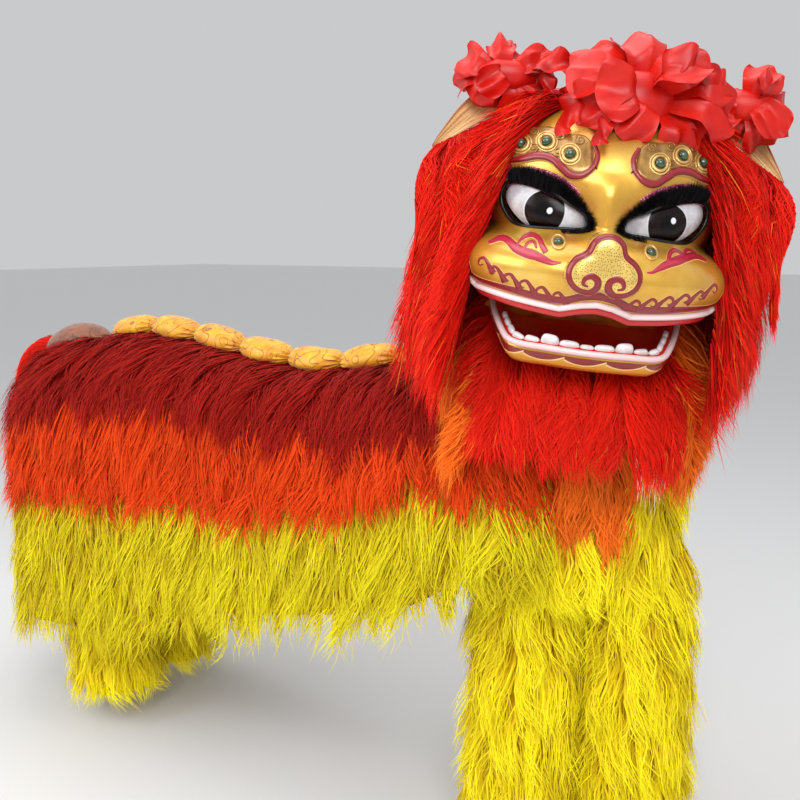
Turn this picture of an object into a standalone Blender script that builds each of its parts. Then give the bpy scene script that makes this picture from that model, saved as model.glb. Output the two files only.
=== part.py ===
"""Northern lion dance costume for two wearers, standing as it is worn.

It holds a carried head with a hinged jaw and blinking lids, a long furred skin,
a furred jacket and two pairs of furred trousers.
Metres, +Z up, +X from the rump towards the head, -Y the side of the lion's right flank.
The origin lies inside the head, where the front wearer carries it.
"""

import math

import bmesh
import bpy
import numpy as np

SEAT_GAP = 0.0003
CLOTH_WALL = 0.0025
SHELL_WALL = 0.005

# The carrying point, over the spot midway between the front wearer's feet.
CARRY_X, CARRY_Y, CARRY_HEIGHT = 0.037, -0.095, 1.381
HEAD_YAW, HEAD_ROLL, HEAD_PITCH = 26.0, 6.5, 3.0
WEARER_X, WEARER_Y, WEARER_YAW = 0.0, 0.03, 26.0
SIDES = {"right": -1, "left": 1}

# The head is a smooth union of ellipsoids: name, centre, half sizes.
HEAD_CENTRE = np.array([0.0, -0.02, 0.04])
HEAD_BLEND = 22.0
HEAD_MASSES = (
    ("skull", (0.0, 0.0, 0.090), (0.222, 0.210, 0.190)),
    ("muzzle", (0.0, -0.075, -0.030), (0.250, 0.212, 0.095)),
    ("nape", (0.0, 0.030, -0.050), (0.215, 0.190, 0.160)),
)
# Azimuth from the front in degrees, and the height of the shell's lower edge there.
HEAD_EDGE = (
    (0, -0.068),
    (15, -0.084),
    (35, -0.078),
    (57, -0.070),
    (67, -0.045),
    (76, -0.012),
    (87, -0.078),
    (100, -0.095),
    (115, -0.100),
    (180, -0.100),
)
HEAD_COLUMNS = (0, 9, 18, 30, 43, 56, 67, 76, 87, 100, 122, 150, 180)
HEAD_ROWS = (0.0, 0.17, 0.32, 0.44, 0.55, 0.65, 0.75, 0.84, 0.93, 1.0)

EYE_X, EYE_Y, EYE_Z = 0.094, -0.140, 0.072
EYE_SLANT, EYE_SPLAY = 17.3, 22.9
EYE_HALF_LENGTH, EYE_RADIUS = 0.090, 0.050
LID_CLEARANCE, LID_WALL, SOCKET_CLEARANCE = 0.0008, 0.003, 0.007
LID_LOW, LID_HIGH = 33.0, 108.0
PIN_RADIUS, PIN_LENGTH, PIN_SEAT = 0.004, 0.080, 0.004
# A lash along its lid: place from the eye's middle towards the outer corner, and length.
LASH_ROWS = ((-0.052, 0.010), (-0.030, 0.018), (0.0, 0.023), (0.030, 0.025), (0.062, 0.023))
# Its section: degrees above straight ahead, and the share of the length it stands out there.
LASH_SECTION = ((32, 0.0), (36, 1.0), (50, 0.95), (44, 0.0))
LASH_SEAT = 0.0006
# A brow crest seen from the front: along its lower edge and back along the scallops above.
CREST_OUTLINE = (
    (0.036, 0.125), (0.060, 0.120), (0.098, 0.150), (0.135, 0.163), (0.178, 0.150),
    (0.190, 0.172), (0.160, 0.202), (0.136, 0.188), (0.112, 0.208), (0.092, 0.190),
    (0.066, 0.194), (0.040, 0.160),
)
CREST_LIFT = 0.007
PIPING_RADIUS, PIPING_SIDES = 0.0055, 6
EYE_SIDES, EYE_STATIONS = 10, 8

# An ear's lower edge from inside the crown to its tip, and its width there.
EAR_ROWS = (
    (0.088, 0.000, 0.226, 0.025),
    (0.150, -0.004, 0.280, 0.052),
    (0.203, -0.012, 0.248, 0.060),
    (0.255, -0.024, 0.210, 0.052),
    (0.299, -0.034, 0.179, 0.026),
    (0.325, -0.040, 0.160, 0.006),
)

JAW_HINGE_Y, JAW_HINGE_Z, JAW_OPEN = 0.020, -0.066, 27.0
JAW_WALL, JAW_DEPTH = 0.004, 0.045
JAW_ARM_X = 0.185
TOOTH_STEPS, TALL_TEETH = 29, (11, 17)
FANG_X = 0.112
# An upper fang: height over its base, half width and half depth.
FANG_ROWS = ((0.012, 0.008, 0.0062), (-0.004, 0.008, 0.0060), (-0.017, 0.003, 0.0020))
BOSS_RADIUS, BOSS_OUTER = 0.010, 0.2155
# The jaw's rim from the hinge to the chin: half width, forward reach, height, share of the depth.
JAW_RIM = (
    (0.185, -0.026, 0.000, 0.45),
    (0.185, 0.030, 0.000, 0.70),
    (0.177, 0.110, 0.000, 1.00),
    (0.156, 0.195, 0.001, 1.00),
    (0.132, 0.240, 0.006, 1.00),
    (0.070, 0.262, 0.016, 1.00),
    (0.000, 0.268, 0.018, 1.00),
)

# Below its top, which follows the shell's rim: height, half width, half depth, centre Y.
NECK_ROWS = (
    (-0.175, 0.185, 0.100, 0.080),
    (-0.245, 0.172, 0.128, 0.060),
    (-0.292, 0.160, 0.132, 0.055),
)
NECK_FRONT = ((0.125, 0.034), (0.0, 0.028), (-0.125, 0.034))
NECK_FRONT_HEIGHT = -0.116
# The chest fur from its roots to its tips: height, Y of its front and thickness.
CHEST_ROWS = (
    (-0.232, -0.100, 0.060),
    (-0.275, -0.135, 0.070),
    (-0.330, -0.165, 0.060),
    (-0.400, -0.175, 0.028),
)

# Outer profiles of the mane as radius and height, from the crown to the tips.
MANE_PROFILES = {
    70: (
        (0.210, 0.150), (0.235, 0.100), (0.262, 0.020),
        (0.280, -0.060), (0.290, -0.160), (0.280, -0.270),
    ),
    100: (
        (0.215, 0.170), (0.265, 0.120), (0.315, 0.040),
        (0.335, -0.060), (0.335, -0.160), (0.310, -0.270),
    ),
    180: (
        (0.130, 0.262), (0.230, 0.180), (0.280, 0.080),
        (0.295, -0.030), (0.285, -0.120), (0.265, -0.185),
    ),
}
MANE_THICKNESS = (0.045, 0.062, 0.078, 0.055, 0.045, 0.030)
EAR_FUR_SWELL = (0.012, 0.050, 0.045, 0.028)
MANE_COLUMNS = (70, 80, 90, 100, 116, 132, 148, 164, 180)

# The skin's section along the body: place, half width, ridge, and the three fur boundaries.
SKIN_TABLE = (
    (-0.12, 0.225, 1.150, 1.000, 0.880, 0.700),
    (-0.30, 0.218, 1.130, 0.970, 0.860, 0.580),
    (-0.50, 0.210, 1.098, 0.925, 0.790, 0.510),
    (-0.70, 0.203, 1.070, 0.915, 0.735, 0.460),
    (-0.90, 0.205, 1.086, 0.935, 0.720, 0.420),
    (-1.10, 0.228, 1.118, 0.945, 0.705, 0.350),
    (-1.30, 0.255, 1.136, 0.930, 0.685, 0.290),
    (-1.50, 0.272, 1.105, 0.900, 0.670, 0.285),
    (-1.775, 0.000, 1.060, 0.870, 0.650, 0.230),
)
SKIN_MID_Y = 0.020
SKIN_FRONT, SKIN_STERN, SKIN_LENGTHS, STERN_STEPS = -0.145, -1.50, 10, 4
SHOULDER_ANGLES = (0.0, 34.0, 62.0, 84.0)

PUFF_COUNT, PUFF_FIRST, PUFF_PITCH = 7, -1.465, 0.165
PUFF_HALF_WIDTH, PUFF_HALF_HEIGHT, PUFF_SIDES = 0.040, 0.024, 6

# The tail plume's sections: X, Z, half width, half thickness and lean off level in degrees.
TAIL_ROWS = (
    (-1.715, 1.070, 0.026, 0.018, 90),
    (-1.790, 1.074, 0.060, 0.032, 118),
    (-1.846, 1.000, 0.075, 0.034, 160),
    (-1.862, 0.900, 0.070, 0.030, 180),
    (-1.862, 0.800, 0.045, 0.014, 180),
)
# The tail pad: place, share of its full section, and drop below its crown.
TAIL_PAD_ROWS = (
    (-1.728, 0.30, 0.045),
    (-1.700, 0.80, 0.028),
    (-1.620, 1.00, 0.004),
    (-1.540, 0.85, 0.000),
    (-1.490, 0.30, 0.000),
)
TAIL_PAD_HALF_WIDTH, TAIL_PAD_HALF_HEIGHT, TAIL_PAD_HEIGHT = 0.062, 0.045, 1.108
PUFF_PROFILE = ((-0.98, 0.35), (-0.70, 0.90), (0.0, 1.0), (0.70, 0.90), (0.98, 0.35))

# The jacket outside and inside: height, half width, half depth.
JACKET_ROWS = (
    (1.135, 0.105, 0.085),
    (1.105, 0.165, 0.120),
    (1.010, 0.190, 0.150),
    (0.985, 0.172, 0.132),
    (0.860, 0.198, 0.158),
    (0.845, 0.174, 0.134),
    (0.745, 0.196, 0.156),
)
JACKET_INSIDE = (
    (1.150, 0.085, 0.065),
    (1.088, 0.140, 0.095),
    (0.960, 0.158, 0.118),
    (0.730, 0.158, 0.118),
)

LEG_INNER = 0.082
LEG_SIDES = 10
HIP_TURN = 0.15
# The hips of both pairs of trousers: X, Y, height, half width and half depth.
FRONT_HIPS = (
    (0, 0, 0.930, 0.1577, 0.1177),
    (0, 0, 0.738, 0.1577, 0.1177),
    (0, 0, 0.640, 0.1650, 0.1220),
)
REAR_HIPS = (
    (-1.40, 0.03, 1.000, 0.165, 0.175),
    (-1.43, 0.03, 0.860, 0.170, 0.180),
    (-1.45, 0.03, 0.730, 0.150, 0.170),
)

FINISHES = {
    "gold": ((0.83, 0.52, 0.10), 0.30, 0.55),
    "gold_cloth": ((0.80, 0.42, 0.07), 0.45, 0.20),
    "maroon": ((0.42, 0.02, 0.04), 0.40, 0.00),
    "mouth_red": ((0.45, 0.02, 0.02), 0.50, 0.00),
    "piping": ((0.93, 0.62, 0.62), 0.55, 0.00),
    "teeth": ((0.90, 0.88, 0.88), 0.35, 0.00),
    "eye": ((0.85, 0.85, 0.86), 0.15, 0.00),
    "lid": ((0.60, 0.08, 0.30), 0.35, 0.20),
    "black_fur": ((0.01, 0.01, 0.015), 0.80, 0.00),
    "glass": ((0.02, 0.10, 0.05), 0.10, 0.00),
    "red_fur": ((0.75, 0.02, 0.01), 0.80, 0.00),
    "orange_fur": ((0.95, 0.16, 0.01), 0.80, 0.00),
    "yellow_fur": ((0.93, 0.78, 0.03), 0.80, 0.00),
    "red_satin": ((0.85, 0.05, 0.03), 0.45, 0.00),
    "yellow_satin": ((0.90, 0.55, 0.05), 0.50, 0.00),
    "brown_brocade": ((0.45, 0.20, 0.10), 0.60, 0.00),
    "red_cloth": ((0.60, 0.03, 0.02), 0.70, 0.00),
}


def clear_scene():
    """Empty the scene."""
    for obj in list(bpy.data.objects):
        bpy.data.objects.remove(obj, do_unlink=True)


def make_empty(name, parent=None, location=(0, 0, 0), degrees=(0, 0, 0)):
    """A guide that places the pieces parented to it."""
    empty = bpy.data.objects.new(name, None)
    bpy.context.collection.objects.link(empty)
    empty.parent = parent
    empty.location = location
    empty.rotation_euler = [math.radians(angle) for angle in degrees]
    return empty


def make_material(name, finish):
    """A Principled material of the piece's own."""
    colour, roughness, metallic = FINISHES[finish]
    material = bpy.data.materials.new(name)
    material.use_nodes = True
    shader = material.node_tree.nodes["Principled BSDF"]
    shader.inputs["Base Color"].default_value = (*colour, 1.0)
    shader.inputs["Roughness"].default_value = roughness
    shader.inputs["Metallic"].default_value = metallic
    return material


def make_object(name, verts, faces, parent, finish=None):
    """A mesh piece with merged poles and outward faces, or a hidden cutter if it has no finish."""
    mesh = bpy.data.meshes.new(name)
    mesh.from_pydata([tuple(map(float, v)) for v in verts], [], faces)
    body = bmesh.new()
    body.from_mesh(mesh)
    bmesh.ops.remove_doubles(body, verts=body.verts, dist=0.00001)
    bmesh.ops.recalc_face_normals(body, faces=body.faces)
    body.to_mesh(mesh)
    body.free()
    piece = bpy.data.objects.new(name, mesh)
    bpy.context.collection.objects.link(piece)
    piece.parent = parent
    if finish is None:
        piece.hide_render = True
        piece.display_type = "WIRE"
    else:
        mesh.materials.append(make_material(name, finish))
        mesh.shade_smooth()
        mesh.set_sharp_from_angle(angle=math.radians(40))
    return piece


def boolean(piece, tool, operation="DIFFERENCE"):
    """Cut or join a piece with another one."""
    modifier = piece.modifiers.new(operation.lower(), "BOOLEAN")
    modifier.operation = operation
    modifier.solver = "EXACT"
    modifier.object = tool


def grid_faces(rows, columns, wrap, start=0):
    """Triangles between neighbouring rows of a grid of points, all cut along the same diagonal."""
    faces = []
    last = columns if wrap else columns - 1
    for row in range(rows - 1):
        for column in range(last):
            right = (column + 1) % columns
            a = start + row * columns
            b = a + columns
            faces.append((a + column, a + right, b + right))
            faces.append((a + column, b + right, b + column))
    return faces


def wall_piece(name, outer, inner, wrap, parent, finish=None, edge_rows=(0, -1)):
    """A closed wall between two grids of the same shape.

    A row whose points meet, at a pole or over a ridge, has no edge to close.
    """
    rows, columns = outer.shape[:2]
    size = rows * columns
    verts = np.concatenate([outer.reshape(-1, 3), inner.reshape(-1, 3)])
    faces = grid_faces(rows, columns, wrap)
    faces += [face[::-1] for face in grid_faces(rows, columns, wrap, size)]
    last = columns if wrap else columns - 1
    for edge in edge_rows:
        row = edge % rows
        for column in range(last):
            right = (column + 1) % columns
            a, b = row * columns + column, row * columns + right
            faces += [(a, b, size + b), (a, size + b, size + a)]
    if not wrap:
        for column in (0, columns - 1):
            for row in range(rows - 1):
                a, b = row * columns + column, (row + 1) * columns + column
                faces += [(a, b, size + b), (a, size + b, size + a)]
    return make_object(name, verts, faces, parent, finish)


def loft_piece(name, rings, parent, finish=None):
    """A closed solid through rings of points, with a fan of triangles over each end."""
    rings = np.asarray(rings, float)
    rows, columns = rings.shape[:2]
    ends = np.stack([rings[0].mean(axis=0), rings[-1].mean(axis=0)])
    verts = np.concatenate([rings.reshape(-1, 3), ends])
    faces = grid_faces(rows, columns, True)
    for row, tip in ((0, rows * columns), (rows - 1, rows * columns + 1)):
        for column in range(columns):
            a = row * columns + column
            b = row * columns + (column + 1) % columns
            faces.append((a, b, tip))
    return make_object(name, verts, faces, parent, finish)


def oval(count, half_x, half_y, centre, turn=0.0):
    """A level ring of points, an ellipse about a centre."""
    angle = np.linspace(0, 2 * math.pi, count, endpoint=False) + turn
    ring = np.zeros((count, 3))
    ring[:, 0] = centre[0] + half_x * np.sin(angle)
    ring[:, 1] = centre[1] - half_y * np.cos(angle)
    ring[:, 2] = centre[2]
    return ring


def head_radius(direction):
    """Distance from the head's centre to its surface along unit directions.

    Each mass gives the far root of the line through its ellipsoid, and a power mean
    of the roots blends them.
    """
    blended = np.zeros(direction.shape[:-1])
    for _, centre, half in HEAD_MASSES:
        start = (HEAD_CENTRE - np.array(centre)) / np.array(half)
        step = direction / np.array(half)
        a = (step * step).sum(axis=-1)
        b = (step * start).sum(axis=-1)
        c = start @ start - 1.0
        blended += ((-b + np.sqrt(b * b - a * c)) / a) ** HEAD_BLEND
    return blended ** (1 / HEAD_BLEND)


def head_direction(polar, azimuth):
    """Unit direction from a polar angle off +Z and an azimuth off the front, in radians."""
    level = np.sin(polar)
    return np.stack([level * np.sin(azimuth), -level * np.cos(azimuth), np.cos(polar)], axis=-1)


def head_azimuths():
    """Azimuths of the head's columns, all the way round."""
    half = np.radians(HEAD_COLUMNS)
    return np.concatenate([half, -half[-2:0:-1]])


def edge_polar(azimuth):
    """Polar angle at which the head's surface passes its lower edge, by bisection."""
    table = np.array(HEAD_EDGE)
    height = np.interp(np.degrees(np.abs(azimuth)), table[:, 0], table[:, 1])
    low = np.full(azimuth.shape, math.radians(60))
    high = np.full(azimuth.shape, math.radians(150))
    for _ in range(40):
        middle = (low + high) / 2
        direction = head_direction(middle, azimuth)
        above = HEAD_CENTRE[2] + head_radius(direction) * direction[..., 2] > height
        low = np.where(above, middle, low)
        high = np.where(above, high, middle)
    return (low + high) / 2


def head_grid(offset=0.0):
    """Points of the head's surface from the crown to its lower edge, moved outwards by an offset."""
    azimuth = head_azimuths()
    polar = np.outer(HEAD_ROWS, edge_polar(azimuth))
    direction = head_direction(polar, azimuth[None, :])
    radius = head_radius(direction) + offset
    return HEAD_CENTRE + direction * radius[..., None]


def head_form(name, parent, offset):
    """The head as a closed cutter, an offset larger than the shell's outside."""
    grid = head_grid(offset)
    rows, columns = grid.shape[:2]
    base = np.array([[0.0, 0.0, grid[-1, :, 2].min()]])
    verts = np.concatenate([grid.reshape(-1, 3), base])
    faces = grid_faces(rows, columns, True)
    first = (rows - 1) * columns
    for column in range(columns):
        faces.append((first + column, first + (column + 1) % columns, rows * columns))
    return make_object(name, verts, faces, parent)


def spindle(half_length, radius, stations, sides):
    """Rings of an ellipsoid turned about X, without its two end points."""
    along = np.linspace(0, math.pi, stations + 1)[1:-1]
    around = np.linspace(0, 2 * math.pi, sides, endpoint=False)
    rings = np.zeros((len(along), sides, 3))
    rings[..., 0] = (-half_length * np.cos(along))[:, None]
    rings[..., 1] = np.outer(radius * np.sin(along), -np.cos(around))
    rings[..., 2] = np.outer(radius * np.sin(along), np.sin(around))
    return rings


def spindle_piece(name, half_length, radius, stations, sides, parent, finish=None):
    """A closed ellipsoid turned about X, its ends drawn to points."""
    rings = spindle(half_length, radius, stations, sides)
    tips = np.zeros((2, sides, 3))
    tips[0, :, 0] = -half_length
    tips[1, :, 0] = half_length
    return loft_piece(name, np.concatenate([tips[:1], rings, tips[1:]]), parent, finish)


def cross_cylinder(name, start_x, end_x, y, z, radius, sides, parent):
    """A cylinder along X, as a hidden tool."""
    angle = np.linspace(0, 2 * math.pi, sides, endpoint=False)
    ring = np.zeros((2, sides, 3))
    ring[:, :, 0] = np.array([[start_x], [end_x]])
    ring[:, :, 1] = y + radius * np.cos(angle)
    ring[:, :, 2] = z + radius * np.sin(angle)
    return loft_piece(name, ring, parent)


def eye_frames(head):
    """An empty at each eye with X along the lid's hinge and -Y looking out."""
    frames = {}
    for side, sign in SIDES.items():
        frames[side] = make_empty(
            "eyelid_hinge_" + side,
            head,
            (sign * EYE_X, EYE_Y, EYE_Z),
            (0, -sign * EYE_SLANT, sign * EYE_SPLAY),
        )
    return frames


def build_head_shell(head, eyes):
    """The moulded face and skull, open below, with two eye sockets and two hinge bosses."""
    shell = wall_piece("head_shell", head_grid(), head_grid(-SHELL_WALL), True, head, "gold", (-1,))
    for side, sign in SIDES.items():
        socket = spindle_piece(
            "socket_" + side,
            EYE_HALF_LENGTH + SOCKET_CLEARANCE,
            EYE_RADIUS + SOCKET_CLEARANCE,
            EYE_STATIONS,
            EYE_SIDES + 2,
            eyes[side],
        )
        boolean(shell, socket)
        boss = cross_cylinder(
            "boss_" + side,
            sign * (JAW_ARM_X + SEAT_GAP),
            sign * BOSS_OUTER,
            JAW_HINGE_Y,
            JAW_HINGE_Z,
            BOSS_RADIUS,
            8,
            head,
        )
        boolean(shell, boss, "UNION")


def build_eyes(head, eyes):
    """Eyeballs on a hidden pin that reaches the shell, lids that turn on the same axis, and lashes."""
    inside = head_form("inside_form", head, -SHELL_WALL - SEAT_GAP)
    outside = head_form("lash_form", head, 0.0012)
    for side, sign in SIDES.items():
        frame = eyes[side]
        ball = spindle_piece(
            "eyeball_" + side, EYE_HALF_LENGTH, EYE_RADIUS, EYE_STATIONS, EYE_SIDES, frame, "eye"
        )
        pin = cross_cylinder(
            "eye_pin_" + side,
            sign * (EYE_HALF_LENGTH - PIN_SEAT),
            sign * (EYE_HALF_LENGTH + PIN_LENGTH),
            0.0,
            0.0,
            PIN_RADIUS,
            6,
            frame,
        )
        boolean(pin, inside, "INTERSECT")
        boolean(ball, pin, "UNION")
        build_lid(side, frame)
        lash = build_lash(side, sign, frame)
        boolean(lash, outside)


def lid_surface(clearance, angles, stations):
    """Points of a turned surface a clearance outside the eyeball, over angles above straight ahead."""
    length = EYE_HALF_LENGTH + clearance
    radius = (EYE_RADIUS + clearance) * np.sin(stations)
    grid = np.zeros((len(angles), len(stations), 3))
    grid[..., 0] = -length * np.cos(stations)
    grid[..., 1] = -np.outer(np.cos(angles), radius)
    grid[..., 2] = np.outer(np.sin(angles), radius)
    return grid


def build_lid(side, frame):
    """A curved lid, a strip of a turned shell."""
    angles = np.radians(np.linspace(LID_LOW, LID_HIGH, 6))
    stations = np.linspace(0, math.pi, EYE_STATIONS + 1)[1:-1]
    inner = lid_surface(LID_CLEARANCE, angles, stations)
    outer = lid_surface(LID_CLEARANCE + LID_WALL, angles, stations)
    wall_piece("eyelid_" + side, outer, inner, False, frame, "lid")


def build_lash(side, sign, frame):
    """A band of black fur along the lid's lower edge, longer at the outer corner."""
    lid = LID_CLEARANCE + LID_WALL + SEAT_GAP
    rings = []
    for place, length in LASH_ROWS:
        x = sign * place
        root = (EYE_RADIUS + lid) * math.sqrt(1 - (x / (EYE_HALF_LENGTH + lid)) ** 2)
        ring = []
        for degrees, share in LASH_SECTION:
            angle = math.radians(degrees)
            radius = root + max(length * share, LASH_SEAT)
            ring.append((x, -radius * math.cos(angle), radius * math.sin(angle)))
        rings.append(ring)
    return loft_piece("lash_" + side, rings, frame, "black_fur")


def swept_rings(path, outward, across, up):
    """Rings along a path: a section given as steps outwards and steps up."""
    rings = path[:, None] + outward[:, None] * across[None, :, None]
    rings[..., 2] += up[None, :]
    return rings


def lip_rings(margin=0.0):
    """Sections of the piping along the upper lip, from one corner of the mouth to the other."""
    reach = HEAD_COLUMNS.index(76)
    rim = head_grid()[-1]
    path = np.concatenate([rim[-reach:], rim[: reach + 1]])
    path[0] += (path[0] - path[1]) * 20 * margin
    path[-1] += (path[-1] - path[-2]) * 20 * margin
    flat = path - HEAD_CENTRE
    flat[:, 2] = 0
    outward = flat / np.linalg.norm(flat, axis=1)[:, None]
    angle = np.linspace(0, 2 * math.pi, PIPING_SIDES, endpoint=False)
    radius = PIPING_RADIUS + margin
    across = radius * np.cos(angle) - SHELL_WALL / 2
    up = radius * np.sin(angle) - PIPING_RADIUS - SEAT_GAP
    return swept_rings(path, outward, across, up)


def build_lip_trim(head):
    """A round piping along the upper lip."""
    loft_piece("lip_trim", lip_rings(), head, "piping")
    return loft_piece("lip_form", lip_rings(SEAT_GAP), head)


def build_mouth_lining(head):
    """The dark vault of the mouth, from behind the lip over the palate to the throat."""
    reach = HEAD_COLUMNS.index(67)
    rim = head_grid()[-1]
    lip = np.concatenate([rim[-reach:], rim[: reach + 1]])
    flat = lip - HEAD_CENTRE
    flat[:, 2] = 0
    outward = flat / np.linalg.norm(flat, axis=1)[:, None]
    across = np.linspace(-1, 1, len(lip))
    behind_lip = lip - outward * (SHELL_WALL / 2 + PIPING_RADIUS + SEAT_GAP) - np.array([0, 0, 0.011])
    behind_shell = lip - outward * 0.0085 + np.array([0, 0, 0.006])
    palate = lip - outward * 0.045
    palate[:, 2] = -0.018
    level = np.ones(len(lip))
    vault = np.stack([across * 0.120, -0.080 - 0.030 * (1 - across**2), level * 0.0], axis=1)
    throat = np.stack([across * 0.130, level * -0.030, level * -0.050], axis=1)
    hem = throat * np.array([0.9, 1, 1]) + np.array([0, 0.006, -0.062])
    rows = np.stack([behind_lip, behind_shell, palate, vault, throat, hem])
    wall_piece("mouth_lining", rows, rows - wall_shift(rows, CLOTH_WALL), False, head, "mouth_red")
    return behind_lip, outward


def surface_normals(grid, wrap=False):
    """Unit normals of a grid of points, from its neighbours' differences."""
    if wrap:
        along = np.roll(grid, -1, axis=1) - np.roll(grid, 1, axis=1)
    else:
        along = np.gradient(grid, axis=1)
    down = np.gradient(grid, axis=0)
    normal = np.cross(along, down)
    return normal / np.maximum(np.linalg.norm(normal, axis=-1), 1e-9)[..., None]


def wall_shift(grid, wall, wrap=False):
    """The step from a sheet's one face to its other."""
    return surface_normals(grid, wrap) * wall


def build_upper_fangs(head, behind_lip, outward):
    """Two small teeth that hang behind the upper lip, against the lining."""
    for side, sign in SIDES.items():
        x = sign * FANG_X
        seat = np.array([np.interp(x, behind_lip[:, 0], behind_lip[:, axis]) for axis in range(3)])
        away = np.array([np.interp(x, behind_lip[:, 0], outward[:, axis]) for axis in range(3)])
        away /= np.linalg.norm(away)
        base = seat - away * (CLOTH_WALL + SEAT_GAP + 0.0065)
        turn = math.atan2(away[0], -away[1])
        rings = []
        for rise, half_x, half_y in FANG_ROWS:
            rings.append(oval(6, half_x, half_y, (base[0], base[1], base[2] + rise), turn))
        loft_piece("upper_fang_" + side, rings, head, "teeth")


def face_plate(name, outline, head, lift, finish, form):
    """A raised plate on the face: an outline in X and Z run back into the shell, dressed to its curve."""
    outline = np.asarray(outline, float)
    ring = np.zeros((2, len(outline), 3))
    ring[:, :, 0] = outline[:, 0]
    ring[:, :, 2] = outline[:, 1]
    ring[0, :, 1] = -0.33
    ring[1, :, 1] = -0.06
    verts = ring.reshape(-1, 3)
    count = len(outline)
    faces = [tuple(range(count)), tuple(range(2 * count - 1, count - 1, -1))]
    for a in range(count):
        b = (a + 1) % count
        faces += [(a, b, count + b), (a, count + b, count + a)]
    plate = make_object(name, verts, faces, head, finish)
    boolean(plate, lift, "INTERSECT")
    boolean(plate, form)


def build_brow_crests(head, form):
    """A scalloped crest over each eye, standing proud of the forehead."""
    lift = head_form("crest_form", head, CREST_LIFT)
    for side, sign in SIDES.items():
        outline = [(sign * x, z) for x, z in CREST_OUTLINE]
        face_plate("brow_crest_" + side, outline, head, lift, "maroon", form)


def build_studs(head):
    """Domed glass studs: three on each crest and one on each cheek."""
    crest_seat = head_form("stud_form_crest", head, CREST_LIFT + SEAT_GAP)
    face_seat = head_form("stud_form_cheek", head, SEAT_GAP)
    places = (
        ("brow_stud_{}_1", 0.075, 0.166, crest_seat),
        ("brow_stud_{}_2", 0.115, 0.184, crest_seat),
        ("brow_stud_{}_3", 0.157, 0.178, crest_seat),
        ("cheek_stud_{}", 0.078, 0.021, face_seat),
    )
    for side, sign in SIDES.items():
        for label, x, z, seat in places:
            offset = 0.008 if seat is crest_seat else 0.001
            point = face_point(sign * x, z) + offset * face_outward(sign * x, z)
            stud = dome(label.format(side), point, face_outward(sign * x, z), 0.0095, 0.010, head, "glass")
            boolean(stud, seat)


def face_point(x, z):
    """The point of the face's surface at a given X and Z, by marching along -Y."""
    low, high = 0.0, 0.33
    for _ in range(40):
        y = (low + high) / 2
        ray = np.array([x, -y, z]) - HEAD_CENTRE
        reach = np.linalg.norm(ray)
        if reach < head_radius((ray / reach)[None, :])[0]:
            low = y
        else:
            high = y
    return np.array([x, -(low + high) / 2, z])


def face_outward(x, z):
    """The face's unit normal at a given X and Z."""
    step = 0.004
    across = face_point(x + step, z) - face_point(x - step, z)
    up = face_point(x, z + step) - face_point(x, z - step)
    normal = np.cross(across, up)
    return normal / np.linalg.norm(normal)


def dome(name, centre, normal, radius, height, parent, finish):
    """A low dome on a stub, six-sided, pointing along a normal."""
    side = np.cross(normal, [0, 0, 1])
    side /= np.linalg.norm(side)
    up = np.cross(side, normal)
    angle = np.linspace(0, 2 * math.pi, 6, endpoint=False)
    circle = np.outer(np.cos(angle), side) + np.outer(np.sin(angle), up)
    rings = []
    for scale, rise in ((1.0, -0.008), (1.0, 0.15 * height), (0.55, height)):
        rings.append(centre + circle * radius * scale + normal * rise)
    return loft_piece(name, rings, parent, finish)


def build_nose(head, form):
    """A three-lobed nose: one lobe above, two nostril lobes below."""
    count = 18
    angle = np.linspace(0, 2 * math.pi, count, endpoint=False) + math.pi / 2
    lobes = ((math.pi / 2, 0.052), (math.pi * 1.22, 0.066), (math.pi * 1.78, 0.066))
    reach = np.full(count, 0.036)
    for middle, size in lobes:
        away = np.angle(np.exp(1j * (angle - middle)))
        reach = np.maximum(reach, size * np.exp(-((away / 1.05) ** 2) * 0.55))
    outline = np.stack([reach * np.cos(angle) * 1.12, reach * np.sin(angle)], axis=1)
    rings = []
    for scale, y in ((1.0, -0.215), (1.0, -0.283), (0.86, -0.297), (0.45, -0.305)):
        ring = np.zeros((count, 3))
        ring[:, 0] = outline[:, 0] * scale
        ring[:, 1] = y
        ring[:, 2] = outline[:, 1] * scale - 0.004
        rings.append(ring)
    nose = loft_piece("nose", rings, head, "gold")
    boolean(nose, form)


def ear_rings(sign, margin):
    """Sections of a drooping leaf-shaped ear, from inside the crown to its tip."""
    rows = np.array(EAR_ROWS)
    edge, width = rows[:, :3], rows[:, 3:]
    edge[[0, -1]] += (edge[[0, -1]] - edge[[1, -2]]) * 20 * margin
    wide = np.array([0.45, 0.42, 0.79])
    wide /= np.linalg.norm(wide)
    thick = np.cross(edge[-1] - edge[1], wide)
    thick *= (0.002 + margin) / np.linalg.norm(thick)
    low = edge - wide * margin
    high = edge + wide * (width + margin)
    rings = np.stack([low - thick, high - thick, high + thick, low + thick], axis=1)
    rings[..., 0] *= sign
    return rings


def build_ears(head, form):
    """Two stiff leaf-shaped ears under the side flowers."""
    for side, sign in SIDES.items():
        ear = loft_piece("ear_" + side, ear_rings(sign, 0.0), head, "gold_cloth")
        boolean(ear, form)


def ruffled_rings(centre, half, waves, depth, count, rows):
    """Rings of a rounded bunch whose edge runs in and out in folds."""
    around = np.linspace(0, 2 * math.pi, count, endpoint=False)
    rings = []
    for polar in np.linspace(0.18, math.pi - 0.18, rows):
        fold = 1 + depth * math.sin(polar) * np.sin(waves * around + 2.2 * polar)
        level = math.sin(polar)
        ring = np.zeros((count, 3))
        ring[:, 0] = centre[0] + half[0] * level * fold * np.sin(around)
        ring[:, 1] = centre[1] - half[1] * level * fold * np.cos(around)
        ring[:, 2] = centre[2] + half[2] * math.cos(polar)
        rings.append(ring)
    return rings


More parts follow.
